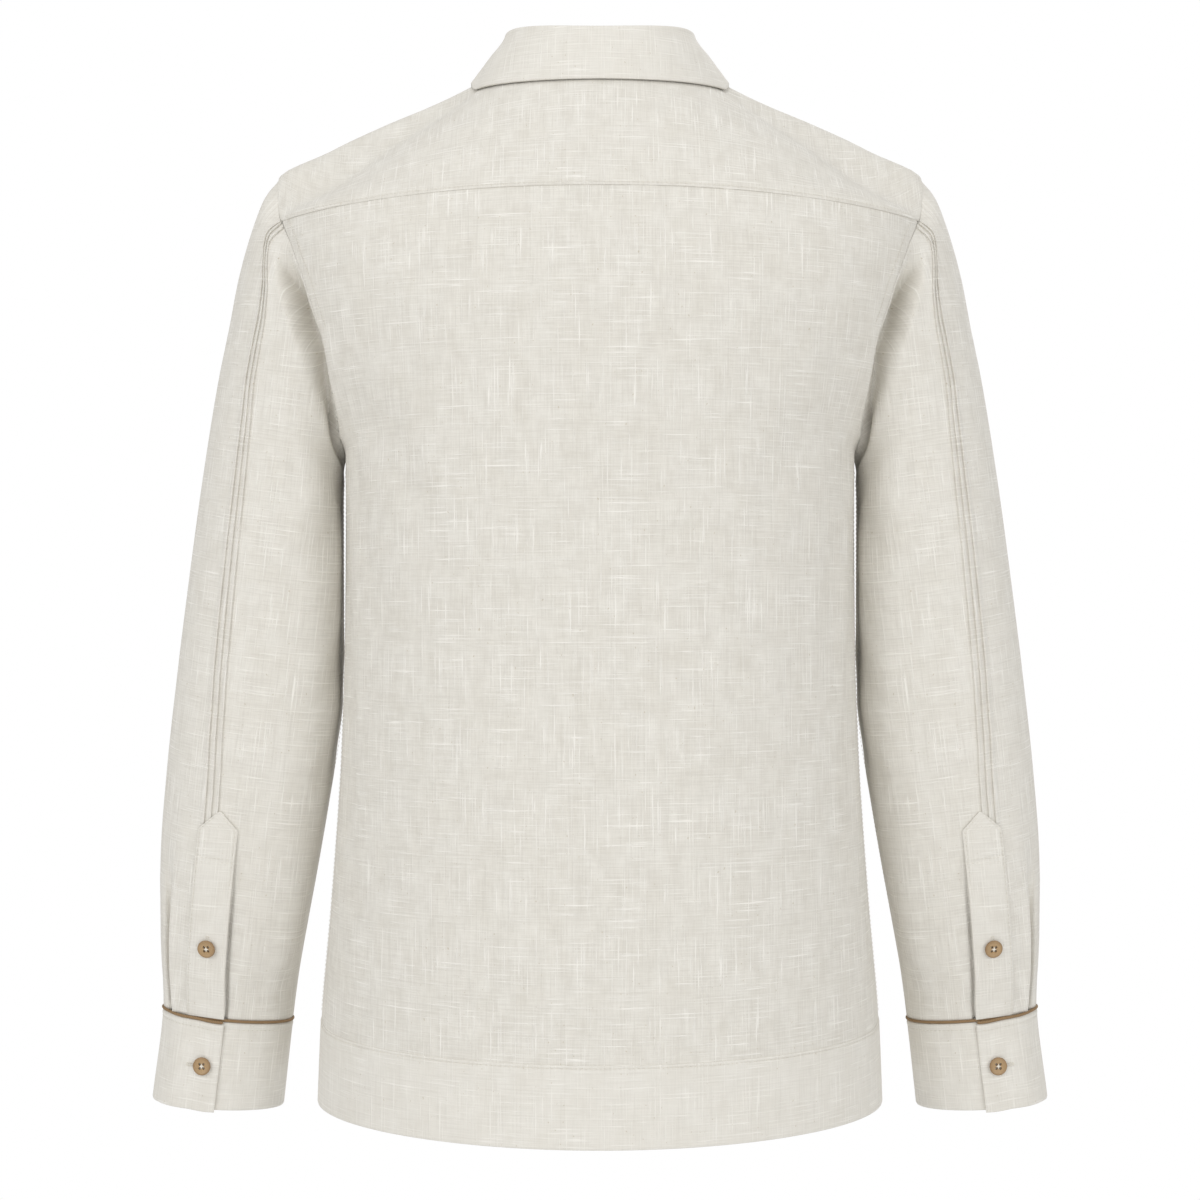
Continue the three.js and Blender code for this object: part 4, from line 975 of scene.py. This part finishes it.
def drawn_in(gap, reach, steps):
    """How far the shoulder's end and the sleeve's cap stay inside their corner, in steps from its top."""
    return 1.9 * bell(gap, reach) * smoothstep((3.2 - steps) / 1.8)


def edge_lift(row):
    """How far the back's edge stands out over the sleeve's fall along the armhole."""
    return 3.0 * smoothstep((row - ARMPIT) / 0.8) * smoothstep((9.6 - row) / 1.4)


def slit_depth(angle, row):
    """How far the cloth sinks beside the free edge of the placket."""
    down = smoothstep((row - PLACKET_SHOULDER) / 1.7)
    off = (angle - placket_edge(row)) * 0.9
    bowl = np.clip(1 - (off / 10) ** 2, 0, None) * smoothstep((CUFF_SEAM - row) * 2.4)
    return 1.2 * down * bowl + 3.2 * down * bell(off - 0.5, 1.3)


def build_sleeve(side, mirror):
    """One sleeve, from the armhole to the cuff."""
    sizes = settings()
    rows = np.concatenate([[0, 0.012, 0.03, 0.055, 0.09, 0.14, 0.2, 0.3], np.arange(0.4, 9.2, 0.085),
                           np.arange(9.22, 9.6, 0.025), np.arange(9.62, 12.6, 0.085),
                           np.linspace(12.65, SLEEVE_END, 9)])
    columns = sleeve_columns()
    base, angles = sleeve_form(columns, rows)
    ring = np.concatenate([base[:, -2:-1], base, base[:, 1:2]], axis=1)
    plain = [i for i, c in enumerate(columns) if c[1] != "tuck" and not c[3] and not c[5]]
    across, down = (ring[:, 2:] - ring[:, :-2]), np.gradient(base, axis=0)
    normal = unit(np.cross(down, across))
    steady = np.array([np.interp(np.arange(len(columns)), plain, normal[j, plain, k])
                       for j in range(len(rows)) for k in range(3)]).reshape(len(rows), 3, -1)
    normal = unit(np.moveaxis(steady, 1, 2))
    row = np.broadcast_to(rows[:, None], angles.shape)
    height = np.zeros(angles.shape)
    caught = 1 - 0.6 * smoothstep((rows - 12.76) / 0.2)
    for i, (_, kind, _, share, fold, _) in enumerate(columns):
        if kind == "tuck":
            run = smoothstep(rows / 0.25) * (1 - smoothstep((rows - TUCKS_END - 0.066 * fold) / 0.03))
            height[:, i] = share * sizes.tuck_height / MM * run
        else:
            height[:, i] = share * sizes.pleat_height / MM * pleated(rows) * caught
    steps = np.array([c[0] for c in columns])
    count = np.linspace(0, SEAM_POINTS, 261)
    seam_angle, seam_row = armhole_seam(count)
    seam = body_at(seam_angle, seam_row)
    seam_normal = body_normal(seam_angle, seam_row)
    seam_lift = seam_normal * np.where(count < ARMPIT_STEP, edge_lift(seam_row), 0)[:, None]
    seam_draw = seam_normal * drawn_in(0, 7, np.minimum(count, SEAM_POINTS - count))[:, None]
    reach = [np.linalg.norm(line[:, None] - seam, axis=-1) for line in base]
    gap, nearest = (np.stack([pick(line, axis=1) for line in reach]) for pick in (np.min, np.argmin))
    behind = np.clip((steps - 3.8) / 1.7, 0, 1) * np.clip((ARMPIT_STEP - steps) / 2.5, 0, 1)
    before = np.clip((steps - ARMPIT_STEP) / 2.5, 0, 1) * np.clip((22.5 - steps) / 3, 0, 1)
    top = np.clip((3.6 - steps) / 2, 0, 1) + np.clip((steps - 22.6) / 2, 0, 1)
    lower = smoothstep((steps - 6.2) / 4)
    height += (0.3 - 0.25 * top) * turned_edge(gap)
    height -= lerp(*VALLEY_BEHIND, lower) * behind * valley(gap, lerp(12, 5, lower), lerp(4.8, 3.6, lower))
    height -= VALLEY_BEFORE * before * valley(gap, 8, 6.5)
    bulge = smoothstep((angles - 98) / 40) * smoothstep((178 - angles) / 30)
    height += 7.5 * bulge * smoothstep((row - 3) / 3) * (1 - smoothstep((row - 11.2) / 1.3))
    height += 1.5 * cuff_lap(angles + 360) * smoothstep((68 - angles) / 9) * smoothstep((row - 12.7) / 0.25)
    height -= slit_depth(angles, row) * (row > PLACKET_SHOULDER)
    height -= crease_depth(base, SLEEVE_CREASES, sleeve_at) * smoothstep((row - 0.6) / 1.5)
    underarm = np.abs(angles - 180) * 0.95
    ridge = 0.3 * smoothstep((ALLOWANCE - underarm) / 1.5) * (angles > 180)
    height += np.where(row > 0.05, ridge - 0.45 * bell(underarm, 0.9), 0)
    points = base + normal * height[..., None]
    points += seam_lift[nearest] * bell(gap, 1.5)[..., None] - seam_draw[nearest] * bell(gap, 7)[..., None]
    sunk = np.array([c[5] for c in columns]) * (sizes.pleat_depth / MM * pleated(rows) * caught)[:, None]
    points[..., 1] -= sunk
    points[:, -1] = points[:, 0]
    axis = unit((sleeve_at([90, 270], CUFF_SEAM) - sleeve_at([90, 270], 0)).sum(axis=0))
    up = -(base @ axis)
    run, rise = np.linalg.norm(np.diff(base, axis=1), axis=-1), np.diff(up, axis=1)
    level = np.sqrt(np.clip(run ** 2 - rise ** 2, 0, None))
    around = np.concatenate([np.zeros((len(rows), 1)), np.cumsum(level, axis=1)], axis=1)
    outside = around + base @ unit(np.cross(axis, [0, 1, 0]))
    middle = np.array([np.interp(90, angle, place) for angle, place in zip(angles, outside)])
    cloth = np.stack([around - middle[:, None], up], axis=-1)
    cloth_piece(f"sleeve_{side}", points, cloth, normal, sleeve_linen_painted_paler(), sizes.cloth, mirror=mirror,
                closed=True)


class SHIRT_OT_sleeves(bpy.types.Operator):
    """Build both sleeves, with their pin tucks and the pleat at the cuff"""
    bl_idname = "shirt.sleeves"
    bl_label = "Sleeves"

    def execute(self, context):
        for side, mirror in SIDES:
            build_sleeve(side, mirror)
        return {"FINISHED"}


def placket_rows():
    """Rows of the placket, and how far down from its point each is."""
    sample = np.linspace(PLACKET_TIP, SLEEVE_END, 300)
    gone = cumulative(sleeve_at(placket_edge(sample) - PLACKET_MIDDLE, sample), 0)
    place = edge_steps(gone[-1], SHORT_EDGE, 150)
    return np.interp(place, gone, sample), place


def placket_width(fallen):
    """Width of the placket, from its point down."""
    return np.interp(fallen, [0, PLACKET_POINT], [1.4, PLACKET_WIDTH])


def placket_surface(across, fallen, rows, lift=PLACKET_LIFT):
    """A point on the placket, across from its folded edge, in millimetres."""
    scale = per_degree(placket_edge(rows) - PLACKET_MIDDLE, rows)
    width = placket_width(fallen)
    edge = placket_edge(rows) - (PLACKET_WIDTH - width) / 2 / scale
    angle = edge - across / scale
    return sleeve_at(angle, rows) + sleeve_normal(angle, rows) * lift


class SHIRT_OT_sleeve_plackets(bpy.types.Operator):
    """Build the pointed strips over the sleeve slits"""
    bl_idname = "shirt.sleeve_plackets"
    bl_label = "Sleeve plackets"

    def execute(self, context):
        rows, fallen = placket_rows()
        width = placket_width(fallen)
        shares = edge_steps(PLACKET_WIDTH, SHORT_EDGE, 12) / PLACKET_WIDTH
        across = width[:, None] * shares
        row, drop = np.broadcast_to(rows[:, None], across.shape), np.broadcast_to(fallen[:, None], across.shape)
        base = placket_surface(across, drop, row, 0)
        edge = placket_edge(row)
        normal = sleeve_normal(edge - across / per_degree(edge - PLACKET_MIDDLE, row), row)
        inside = np.minimum(np.minimum(across, width[:, None] - across), drop * 0.75)
        height = PLACKET_LIFT + 0.6 * turned_edge(inside) - 0.24 * bell(inside - 1.8, 0.5)
        box = bell(drop - 36.2 + 0.196 * across, 0.9)
        height = height - 0.6 * box + 0.7 * smoothstep((drop - 36) / 50) * smoothstep((9 - across) / 9)
        points = base + normal * height[..., None]
        cloth = np.stack([across, -drop], axis=-1)
        for side, mirror in SIDES:
            cloth_piece(f"sleeve_placket_{side}", points, cloth, normal, faced_linen(), settings().cloth,
                        mirror=mirror)
        return {"FINISHED"}


def cuff_surface(angle, row, lift=0.0):
    """A point on the outside of the cuff, whose end laps over its start."""
    lap = cuff_lap(angle)
    height = CUFF_LIFT + CUFF_LAP_LIFT * lap + lift
    points = sleeve_at(angle, row) + sleeve_normal(angle, row) * height[..., None]
    points[..., 2] -= 1.2 * lap * smoothstep((angle - CUFF_END + 26) / 20)
    return points


class SHIRT_OT_cuffs(bpy.types.Operator):
    """Build the buttoned cuffs"""
    bl_idname = "shirt.cuffs"
    bl_label = "Cuffs"

    def execute(self, context):
        top = row_past(CUFF_SEAM, 1.3)
        sample = np.linspace(top, CUFF_HEM, 100)
        gone = cumulative(sleeve_at(90, sample), 0)
        fallen = edge_steps(gone[-1], SHORT_EDGE, 20)
        rows = np.interp(fallen, gone, sample)
        turn = np.linspace(CUFF_UNDERLAP, CUFF_END, 700)
        around = cumulative(sleeve_at(turn, 13.5), 0)
        place = edge_steps(around[-1], SHORT_EDGE, 150)
        angle, row = np.meshgrid(np.interp(place, around, turn), rows)
        across, drop = np.meshgrid(place, fallen)
        rest = np.minimum(np.minimum(across, place[-1] - across), np.minimum(drop, fallen[-1] - drop))
        lift = 0.75 * turned_edge(rest) - 0.24 * bell(drop - 4.2, 0.6) + 0.25 * bell(drop - 2.2, 1.6)
        points = cuff_surface(angle, row, lift)
        cloth = np.stack([across, -drop], axis=-1)
        for side, mirror in SIDES:
            cloth_piece(f"cuff_{side}", points, cloth, sleeve_normal(angle, row), faced_linen(),
                        settings().doubled, mirror=mirror)
        return {"FINISHED"}


class SHIRT_OT_piping(bpy.types.Operator):
    """Build the corded piping in the cuff seams"""
    bl_idname = "shirt.piping"
    bl_label = "Piping"

    def execute(self, context):
        radius = settings().piping / MM / 2
        turn = np.linspace(CUFF_UNDERLAP, CUFF_END, 220)
        lap = cuff_lap(turn)
        normal = sleeve_normal(turn, CUFF_SEAM)
        line = sleeve_at(turn, CUFF_SEAM) + normal * (0.25 + 2.65 * lap)[:, None]
        line[:, 2] -= 1.1 * lap * smoothstep((turn - CUFF_END + 26) / 20)
        run = unit(np.gradient(line, axis=0))
        upward = np.cross(run, normal)
        gone = cumulative(line, 0)
        near_end = np.minimum(gone, gone[-1] - gone)
        size = radius * np.sqrt(np.clip(1 - (1 - np.clip(near_end / radius, 0, 1)) ** 2, 0, 1))
        spin = np.radians(np.linspace(0, 360, 13))
        points = (line[:, None] + normal[:, None] * (np.cos(spin)[None] * size[:, None])[..., None]
                  + upward[:, None] * (np.sin(spin)[None] * size[:, None])[..., None])
        outward = points - line[:, None]
        cloth = np.stack(np.broadcast_arrays(gone[:, None], (spin * radius)[None]), axis=-1)
        for side, mirror in SIDES:
            piece = grid_piece(f"cuff_piping_{side}", points, cloth, outward, piping_cotton(), 0,
                               mirror=mirror, closed=True)
            finish_piece(piece, "piping", f"cuff_piping_{side}")
        return {"FINISHED"}


# ------------------------------------------------------------------ buttons
def settle(bm, centre, face, mirror):
    """Moves what was made at the origin to its seat, its z axis along face."""
    face = Vector(unit(np.asarray(face)))
    up = Vector((0, 0, 1))
    up = (up - face * up.dot(face)).normalized()
    side = up.cross(face)
    turn = Matrix((side, up, face)).transposed().to_4x4()
    move = Matrix.Translation(Vector(centre) * MM) @ turn
    bmesh.ops.transform(bm, matrix=move, verts=bm.verts)
    if mirror:
        bmesh.ops.transform(bm, matrix=Matrix.Diagonal((-1, 1, 1, 1)), verts=bm.verts)
        bmesh.ops.reverse_faces(bm, faces=bm.faces)


def turned_disc(profile, segments=48):
    """A closed solid turned about z from a profile of radius and height, in millimetres."""
    bm = bmesh.new()
    verts = [bm.verts.new((r * MM, 0, z * MM)) for r, z in profile]
    edges = [bm.edges.new(pair) for pair in zip(verts, verts[1:])]
    bmesh.ops.spin(bm, geom=verts + edges, cent=(0, 0, 0), axis=(0, 0, 1), angle=2 * math.pi,
                   steps=segments, use_merge=True)
    bmesh.ops.remove_doubles(bm, verts=bm.verts, dist=1e-7)
    bmesh.ops.recalc_face_normals(bm, faces=bm.faces)
    return bm


def button_mesh():
    """A four-hole shirt button with a rolled rim and a dished face."""
    radius = settings().button / MM / 2
    profile = [(0, 0), (4.6, 0), (5.6, 0.25), (radius - 0.15, 0.8), (radius, 1.3),
               (radius - 0.08, 1.75), (radius - 0.4, 2.12), (radius - 0.9, 2.26),
               (radius - 1.4, 2.16), (radius - 1.8, 1.9), (3.6, 1.66), (0, 1.55)]
    body = bpy.data.meshes.new("button_blank")
    turned_disc(profile).to_mesh(body)
    blank = bpy.data.objects.new("button_blank", body)
    bpy.context.collection.objects.link(blank)
    drills = bmesh.new()
    for x, y in ((1, 1), (-1, 1), (-1, -1), (1, -1)):
        bmesh.ops.create_cone(drills, cap_ends=True, segments=16, radius1=0.92 * MM, radius2=0.92 * MM,
                              depth=8 * MM, matrix=Matrix.Translation((x * 1.45 * MM, y * 1.45 * MM, 0)))
    tool = bpy.data.objects.new("drills", bpy.data.meshes.new("drills"))
    drills.to_mesh(tool.data)
    drills.free()
    bpy.context.collection.objects.link(tool)
    cut = blank.modifiers.new("holes", "BOOLEAN")
    cut.operation, cut.object, cut.solver = "DIFFERENCE", tool, "EXACT"
    graph = bpy.context.evaluated_depsgraph_get()
    made = bpy.data.meshes.new_from_object(blank.evaluated_get(graph))
    for each in (blank, tool):
        mesh = each.data
        bpy.data.objects.remove(each)
        bpy.data.meshes.remove(mesh)
    return made


def add_capsule(bm, start, end, radius, flat=1.0, face=(0, 0, 1), subdivisions=1):
    """A short rounded length of thread from start to end, in millimetres."""
    start, end, face = Vector(start), Vector(end), Vector(face)
    run = end - start
    side = face.cross(run).normalized()
    face = run.cross(side).normalized()
    matrix = Matrix((run / 2, side * radius, face * radius * flat)).transposed().to_4x4()
    matrix.translation = (start + end) / 2
    scaled = Matrix.Scale(MM, 4) @ matrix
    bmesh.ops.create_icosphere(bm, subdivisions=subdivisions, radius=1.0, matrix=scaled)


def button_piece(name, blank, centre, face, mirror=False):
    """A button and the crossed thread in its holes, on its seat."""
    bm = bmesh.new()
    bm.from_mesh(blank)
    layer = bm.loops.layers.uv.new("cloth")
    for polygon in bm.faces:
        polygon.smooth = True
        for corner in polygon.loops:
            radius = math.hypot(corner.vert.co.x, corner.vert.co.y)
            corner[layer].uv = (radius, corner.vert.co.z)
    cloth_faces = len(bm.faces)
    reach, top = 1.2, 1.62
    for turn in (45, 135):
        way = np.array([math.cos(math.radians(turn)), math.sin(math.radians(turn)), 0]) * reach
        add_capsule(bm, way + (0, 0, top), -way + (0, 0, top), 0.3, 0.9, subdivisions=2)
    for way in (np.array([1.75, 0, 0]), np.array([0, 1.9, 0])):
        add_capsule(bm, way + (0, 0, top + 0.1), -way + (0, 0, top + 0.1), 0.5, 0.75, subdivisions=2)
    bm.faces.ensure_lookup_table()
    for polygon in bm.faces[cloth_faces:]:
        polygon.material_index = 1
        polygon.smooth = True
    settle(bm, centre, face, mirror)
    mesh = bpy.data.meshes.new(name)
    bm.to_mesh(mesh)
    bm.free()
    mesh.materials.append(button_resin())
    mesh.materials.append(thread_cotton())
    mesh.shade_smooth()
    mesh.set_sharp_from_angle(angle=math.radians(50))
    piece = bpy.data.objects.new(name, mesh)
    bpy.context.collection.objects.link(piece)
    return finish_piece(piece, "button", name)


FRONT_BUTTONS = (-122, -218, -314, -410, -506, -602)
PLACKET_BUTTON = (78.5, 11.4)
CUFF_BUTTON = (79, 13.55)


def front_button_seat(height):
    """Where a front button of that height sits, the way it faces, and its row."""
    sample = np.linspace(BAND, NECK, 2000)
    row = float(sample[np.argmax(body_at(180, sample)[:, 2] >= height)])
    return body_at(180, row), body_normal(np.array(180.0), np.array(row)), row


class SHIRT_OT_buttons(bpy.types.Operator):
    """Build the four-hole buttons and the thread that holds them"""
    bl_idname = "shirt.buttons"
    bl_label = "Buttons"

    def execute(self, context):
        blank = button_mesh()
        for side, mirror in SIDES:
            seats = (("placket_button", PLACKET_BUTTON, 2.0), ("cuff_button", CUFF_BUTTON, 3.15))
            for name, (angle, row), lift in seats:
                face = sleeve_normal(np.array(float(angle)), np.array(float(row)))
                centre = sleeve_at(angle, row) + face * lift
                button_piece(f"{name}_{side}", blank, centre, face, mirror=mirror)
        for count, height in enumerate(FRONT_BUTTONS, 1):
            centre, face, _ = front_button_seat(height)
            button_piece(f"front_button_{count}", blank, centre + face * 2.27, face)
        low, high = body_at(180, NECK), ring_at(FOLD, 180.0)
        rise = unit(high - low)
        face = np.cross(rise, (-1, 0, 0))
        button_piece("collar_button", blank, lerp(low, high, 0.5) + np.array([0, 1.1, 0]) + face * 0.35, face)
        bpy.data.meshes.remove(blank)
        return {"FINISHED"}


# ------------------------------------------------------------------ stitches
def sew(bm, points, faces, both=True):
    """A line of stitches along points, lying on the cloth whose outward direction is faces."""
    sizes = settings()
    gone = cumulative(points, 0)
    pitch, size = sizes.stitch_pitch / MM, sizes.stitch / MM
    count = max(1, int((gone[-1] - size) / pitch))
    starts = (gone[-1] - count * pitch) / 2 + pitch * np.arange(count)
    at = lambda where, values: np.stack([np.interp(where, gone, values[:, k]) for k in range(3)], axis=-1)
    first, last = at(starts, points), at(starts + size, points)
    facing = unit(at(starts + size / 2, faces))
    for start, end, face in zip(first, last, facing):
        for side in ((1, -1) if both else (1,)):
            flip = np.array([side, 1, 1])
            add_capsule(bm, start * flip, end * flip, sizes.thread / MM / 2, 0.8, face * flip)


def thread_piece(name, bm):
    mesh = bpy.data.meshes.new(name)
    bmesh.ops.recalc_face_normals(bm, faces=bm.faces)
    bm.to_mesh(mesh)
    bm.free()
    mesh.materials.append(thread_cotton())
    mesh.shade_smooth()
    piece = bpy.data.objects.new(name, mesh)
    bpy.context.collection.objects.link(piece)
    return finish_piece(piece, "linen")


def beside_line(points, normals, distance):
    """The line moved sideways over the cloth by a distance."""
    run = unit(np.gradient(points, axis=0))
    return points + np.cross(normals, run) * distance


def add_buttonhole(bm, centre, along, face, size=15.0):
    """A worked buttonhole: a narrow ring of close cross stitches."""
    centre, along, face = (Vector(v) for v in (centre, along, face))
    side = face.cross(along).normalized()
    for step in range(17):
        seat = centre + along * size * (step / 16 - 0.5)
        for way in (-1, 1):
            bar = seat + side * way * 0.35
            add_capsule(bm, bar, bar + side * way * 1.0, 0.36, 0.8, face)
    for way in (-1, 1):
        end = centre + along * way * (size / 2 + 0.4)
        add_capsule(bm, end - side * 1.2, end + side * 1.2, 0.42, 0.9, face)


class SHIRT_OT_stitching(bpy.types.Operator):
    """Sew the visible seams and work the buttonholes"""
    bl_idname = "shirt.stitching"
    bl_label = "Stitching"

    def execute(self, context):
        body = bmesh.new()
        rows = np.linspace(ARMPIT + 0.12, YOKE, 160)
        for front in (False, True):
            edge = armhole(rows, front)
            line, normal = body_at(edge, rows), body_normal(edge, rows)
            line = beside_line(line, normal, ALLOWANCE if front else -ALLOWANCE)
            sew(body, line + normal * 0.3, normal)
            low = np.linspace(BAND + 0.03, ARMPIT - 0.05, 120)
            side = np.full(low.shape, 90.0)
            seam, out = body_at(side, low), body_normal(side, low)
            if not front:
                sew(body, beside_line(seam, out, -ALLOWANCE) + out * 0.3, out)
        turn = np.linspace(-70.5, 70.5, 200)
        low = np.full(turn.shape, float(YOKE))
        out = body_normal(turn, low)
        above = body_at(turn, low + 0.001) - body_at(turn, low)
        sew(body, body_at(turn, low) + unit(above) * 2.0 + out * 0.95, out, both=False)
        rows = np.linspace(YOKE + 0.05, 15.4, 80)
        edge = np.full(rows.shape, float(YOKE_FRONT_ANGLE))
        out = body_normal(edge, rows)
        sew(body, beside_line(body_at(edge, rows), out, -2.0) + out * 0.75, out)
        turn = np.linspace(-178, 178, 500)
        high = np.full(turn.shape, float(BAND))
        out = body_normal(turn, high)
        sew(body, body_at(turn, high) + np.array([0, 0, -1.9]) + out * 0.85, out, both=False)
        rows = np.linspace(0.08, 15.8, 300)
        turn = 180 - front_angle(rows, 11.0)
        out = body_normal(turn, rows)
        sew(body, body_at(turn, rows) + out * 1.95, out)
        for height in FRONT_BUTTONS:
            centre, face, row = front_button_seat(height)
            up = unit(body_at(180, row + 0.05) - body_at(180, row - 0.05))
            add_buttonhole(body, centre + face * 2.0 + up * 1.0, up, face)
        thread_piece("stitching_body", body)
        sleeves = bmesh.new()
        rows, fallen = placket_rows()
        keep = (fallen > 3) & (fallen < fallen[-1] - 1)
        rows, fallen = rows[keep], fallen[keep]
        width = placket_width(fallen)
        for across in (np.full(width.shape, 1.8), width - 1.8):
            angle = placket_edge(rows) - across / per_degree(placket_edge(rows) - PLACKET_MIDDLE, rows)
            sew(sleeves, placket_surface(across, fallen, rows, 1.62), sleeve_normal(angle, rows))
        for drop in (33.0, 36.0):
            across = np.linspace(2.2, PLACKET_WIDTH - 2.2, 30)
            row = np.full(across.shape, float(np.interp(drop, fallen, rows)))
            angle = placket_edge(row) - across / per_degree(placket_edge(row) - PLACKET_MIDDLE, row)
            line = placket_surface(across, np.full(across.shape, drop), row, 1.62)
            sew(sleeves, line, sleeve_normal(angle, row))
        turn = np.linspace(CUFF_UNDERLAP + 8, CUFF_END - 3, 400)
        row = np.full(turn.shape, row_past(CUFF_SEAM, 5.5))
        sew(sleeves, cuff_surface(turn, row, np.full(turn.shape, 0.0)), sleeve_normal(turn, row))
        row = np.linspace(0.15, 12.7, 400)
        turn = np.full(row.shape, 188.0)
        keep = (np.clip(1 - row / CAP_ROWS, 0, 1) ** 2)[:, None]
        _, off = seam_on_sleeve(np.full(row.shape, 13.3))
        out = sleeve_normal(turn, np.maximum(row, 0.1))
        sew(sleeves, sleeve_at(turn, row) + off * keep + out * 0.3, out)
        for (angle, row), lift, upright in ((PLACKET_BUTTON, 1.7, True), (CUFF_BUTTON, 3.0, False)):
            angle, row = np.array(float(angle)), np.array(float(row))
            face = sleeve_normal(angle, row)
            up = unit(sleeve_at(angle, row - 0.05) - sleeve_at(angle, row + 0.05))
            outward = unit(sleeve_at(angle - 1, row) - sleeve_at(angle, row))
            along, shift = (up, up * 1.0) if upright else (outward, outward * 3.6)
            for side in (1, -1):
                flip = np.array([side, 1, 1])
                centre = sleeve_at(angle, row) + face * lift + shift
                add_buttonhole(sleeves, centre * flip, along * flip, face * flip)
        thread_piece("stitching_sleeves", sleeves)
        return {"FINISHED"}


# ------------------------------------------------------------------ stage
CAMERA_DISTANCE, CAMERA_HEIGHT, FRAME_WIDTH = 1500, -362, 843.6


class SHIRT_OT_stage(bpy.types.Operator):
    """Set the camera, the soft studio light and the floor"""
    bl_idname = "shirt.stage"
    bl_label = "Stage"

    def execute(self, context):
        scene = context.scene
        scene.view_settings.view_transform = "Standard"
        lens = bpy.data.cameras.new("camera")
        lens.sensor_width = 36
        lens.lens = 36 * CAMERA_DISTANCE / FRAME_WIDTH
        lens.clip_end = 50
        camera = bpy.data.objects.new("camera", lens)
        camera.location = (0, CAMERA_DISTANCE * MM, CAMERA_HEIGHT * MM)
        camera.rotation_euler = (math.radians(90), 0, math.radians(180))
        context.collection.objects.link(camera)
        scene.camera = camera
        lamps = (
            ("key", (0.8, 2.5, 1.6), 1.7, 16),
            ("fill", (-0.9, 2.4, -0.3), 1.9, 6.5),
            ("left side", (1.9, 1.75, 0.1), 1.6, 15),
            ("right side", (-1.9, 1.75, 0.1), 1.6, 12),
            ("front", (-0.9, -2.3, 0.7), 1.9, 26),
            ("top", (0, 0.3, 2.1), 1.8, 11),
        )
        aim = Vector((0, 0, -0.36))
        for name, place, size, power in lamps:
            lamp = bpy.data.lights.new(name, "AREA")
            lamp.shape, lamp.size, lamp.energy = "DISK", size, power
            made = bpy.data.objects.new(name, lamp)
            made.location = place
            made.rotation_euler = (aim - Vector(place)).to_track_quat("-Z", "Y").to_euler()
            context.collection.objects.link(made)
        world = bpy.data.worlds.new("studio")
        world.use_nodes = True
        air = world.node_tree.nodes["Background"]
        air.inputs["Color"].default_value = (1, 1, 1, 1)
        seen = add_node(world.node_tree, "ShaderNodeLightPath").outputs["Is Camera Ray"]
        level = add_node(world.node_tree, "ShaderNodeMapRange", {"To Min": 0.565, "To Max": 1.0},
                         {"Value": seen})
        world.node_tree.links.new(level.outputs["Result"], air.inputs["Strength"])
        scene.world = world
        bm = bmesh.new()
        bmesh.ops.create_grid(bm, x_segments=1, y_segments=1, size=1.6,
                              matrix=Matrix.Translation((0, 0, -1.42)))
        mesh = bpy.data.meshes.new("floor")
        bm.to_mesh(mesh)
        bm.free()
        paint, tree, shader = new_material("Matt studio floor")
        if tree is not None:
            shader.inputs["Base Color"].default_value = (*colours().floor, 1)
            shader.inputs["Roughness"].default_value = 0.9
        mesh.materials.append(paint)
        floor = bpy.data.objects.new("floor", mesh)
        context.collection.objects.link(floor)
        return {"FINISHED"}


class SHIRT_PT_panel(bpy.types.Panel):
    """Lists the shirt's pieces, sizes and colours"""
    bl_idname = "SHIRT_PT_panel"
    bl_label = "Guayabera shirt"
    bl_space_type = "VIEW_3D"
    bl_region_type = "UI"
    bl_category = "Shirt"

    def draw(self, context):
        for operator in OPERATORS:
            self.layout.operator(operator.bl_idname)
        for group in (context.scene.shirt_sizes, context.scene.shirt_colours):
            box = self.layout.box()
            for name in group.__annotations__:
                box.prop(group, name)


OPERATORS = (
    SHIRT_OT_back, SHIRT_OT_yoke, SHIRT_OT_fronts, SHIRT_OT_front_placket, SHIRT_OT_hem_band, SHIRT_OT_collar,
    SHIRT_OT_sleeves, SHIRT_OT_sleeve_plackets, SHIRT_OT_cuffs, SHIRT_OT_piping, SHIRT_OT_buttons,
    SHIRT_OT_stitching, SHIRT_OT_stage,
)
CLASSES = (ShirtSizes, ShirtColours, *OPERATORS, SHIRT_PT_panel)


def register():
    for each in CLASSES:
        bpy.utils.register_class(each)
    bpy.types.Scene.shirt_sizes = PointerProperty(type=ShirtSizes)
    bpy.types.Scene.shirt_colours = PointerProperty(type=ShirtColours)


def unregister():
    del bpy.types.Scene.shirt_sizes, bpy.types.Scene.shirt_colours
    for each in reversed(CLASSES):
        bpy.utils.unregister_class(each)


def main():
    register()
    for operator in OPERATORS:
        group, name = operator.bl_idname.split(".")
        getattr(getattr(bpy.ops, group), name)()


if __name__ == "__main__":
    main()
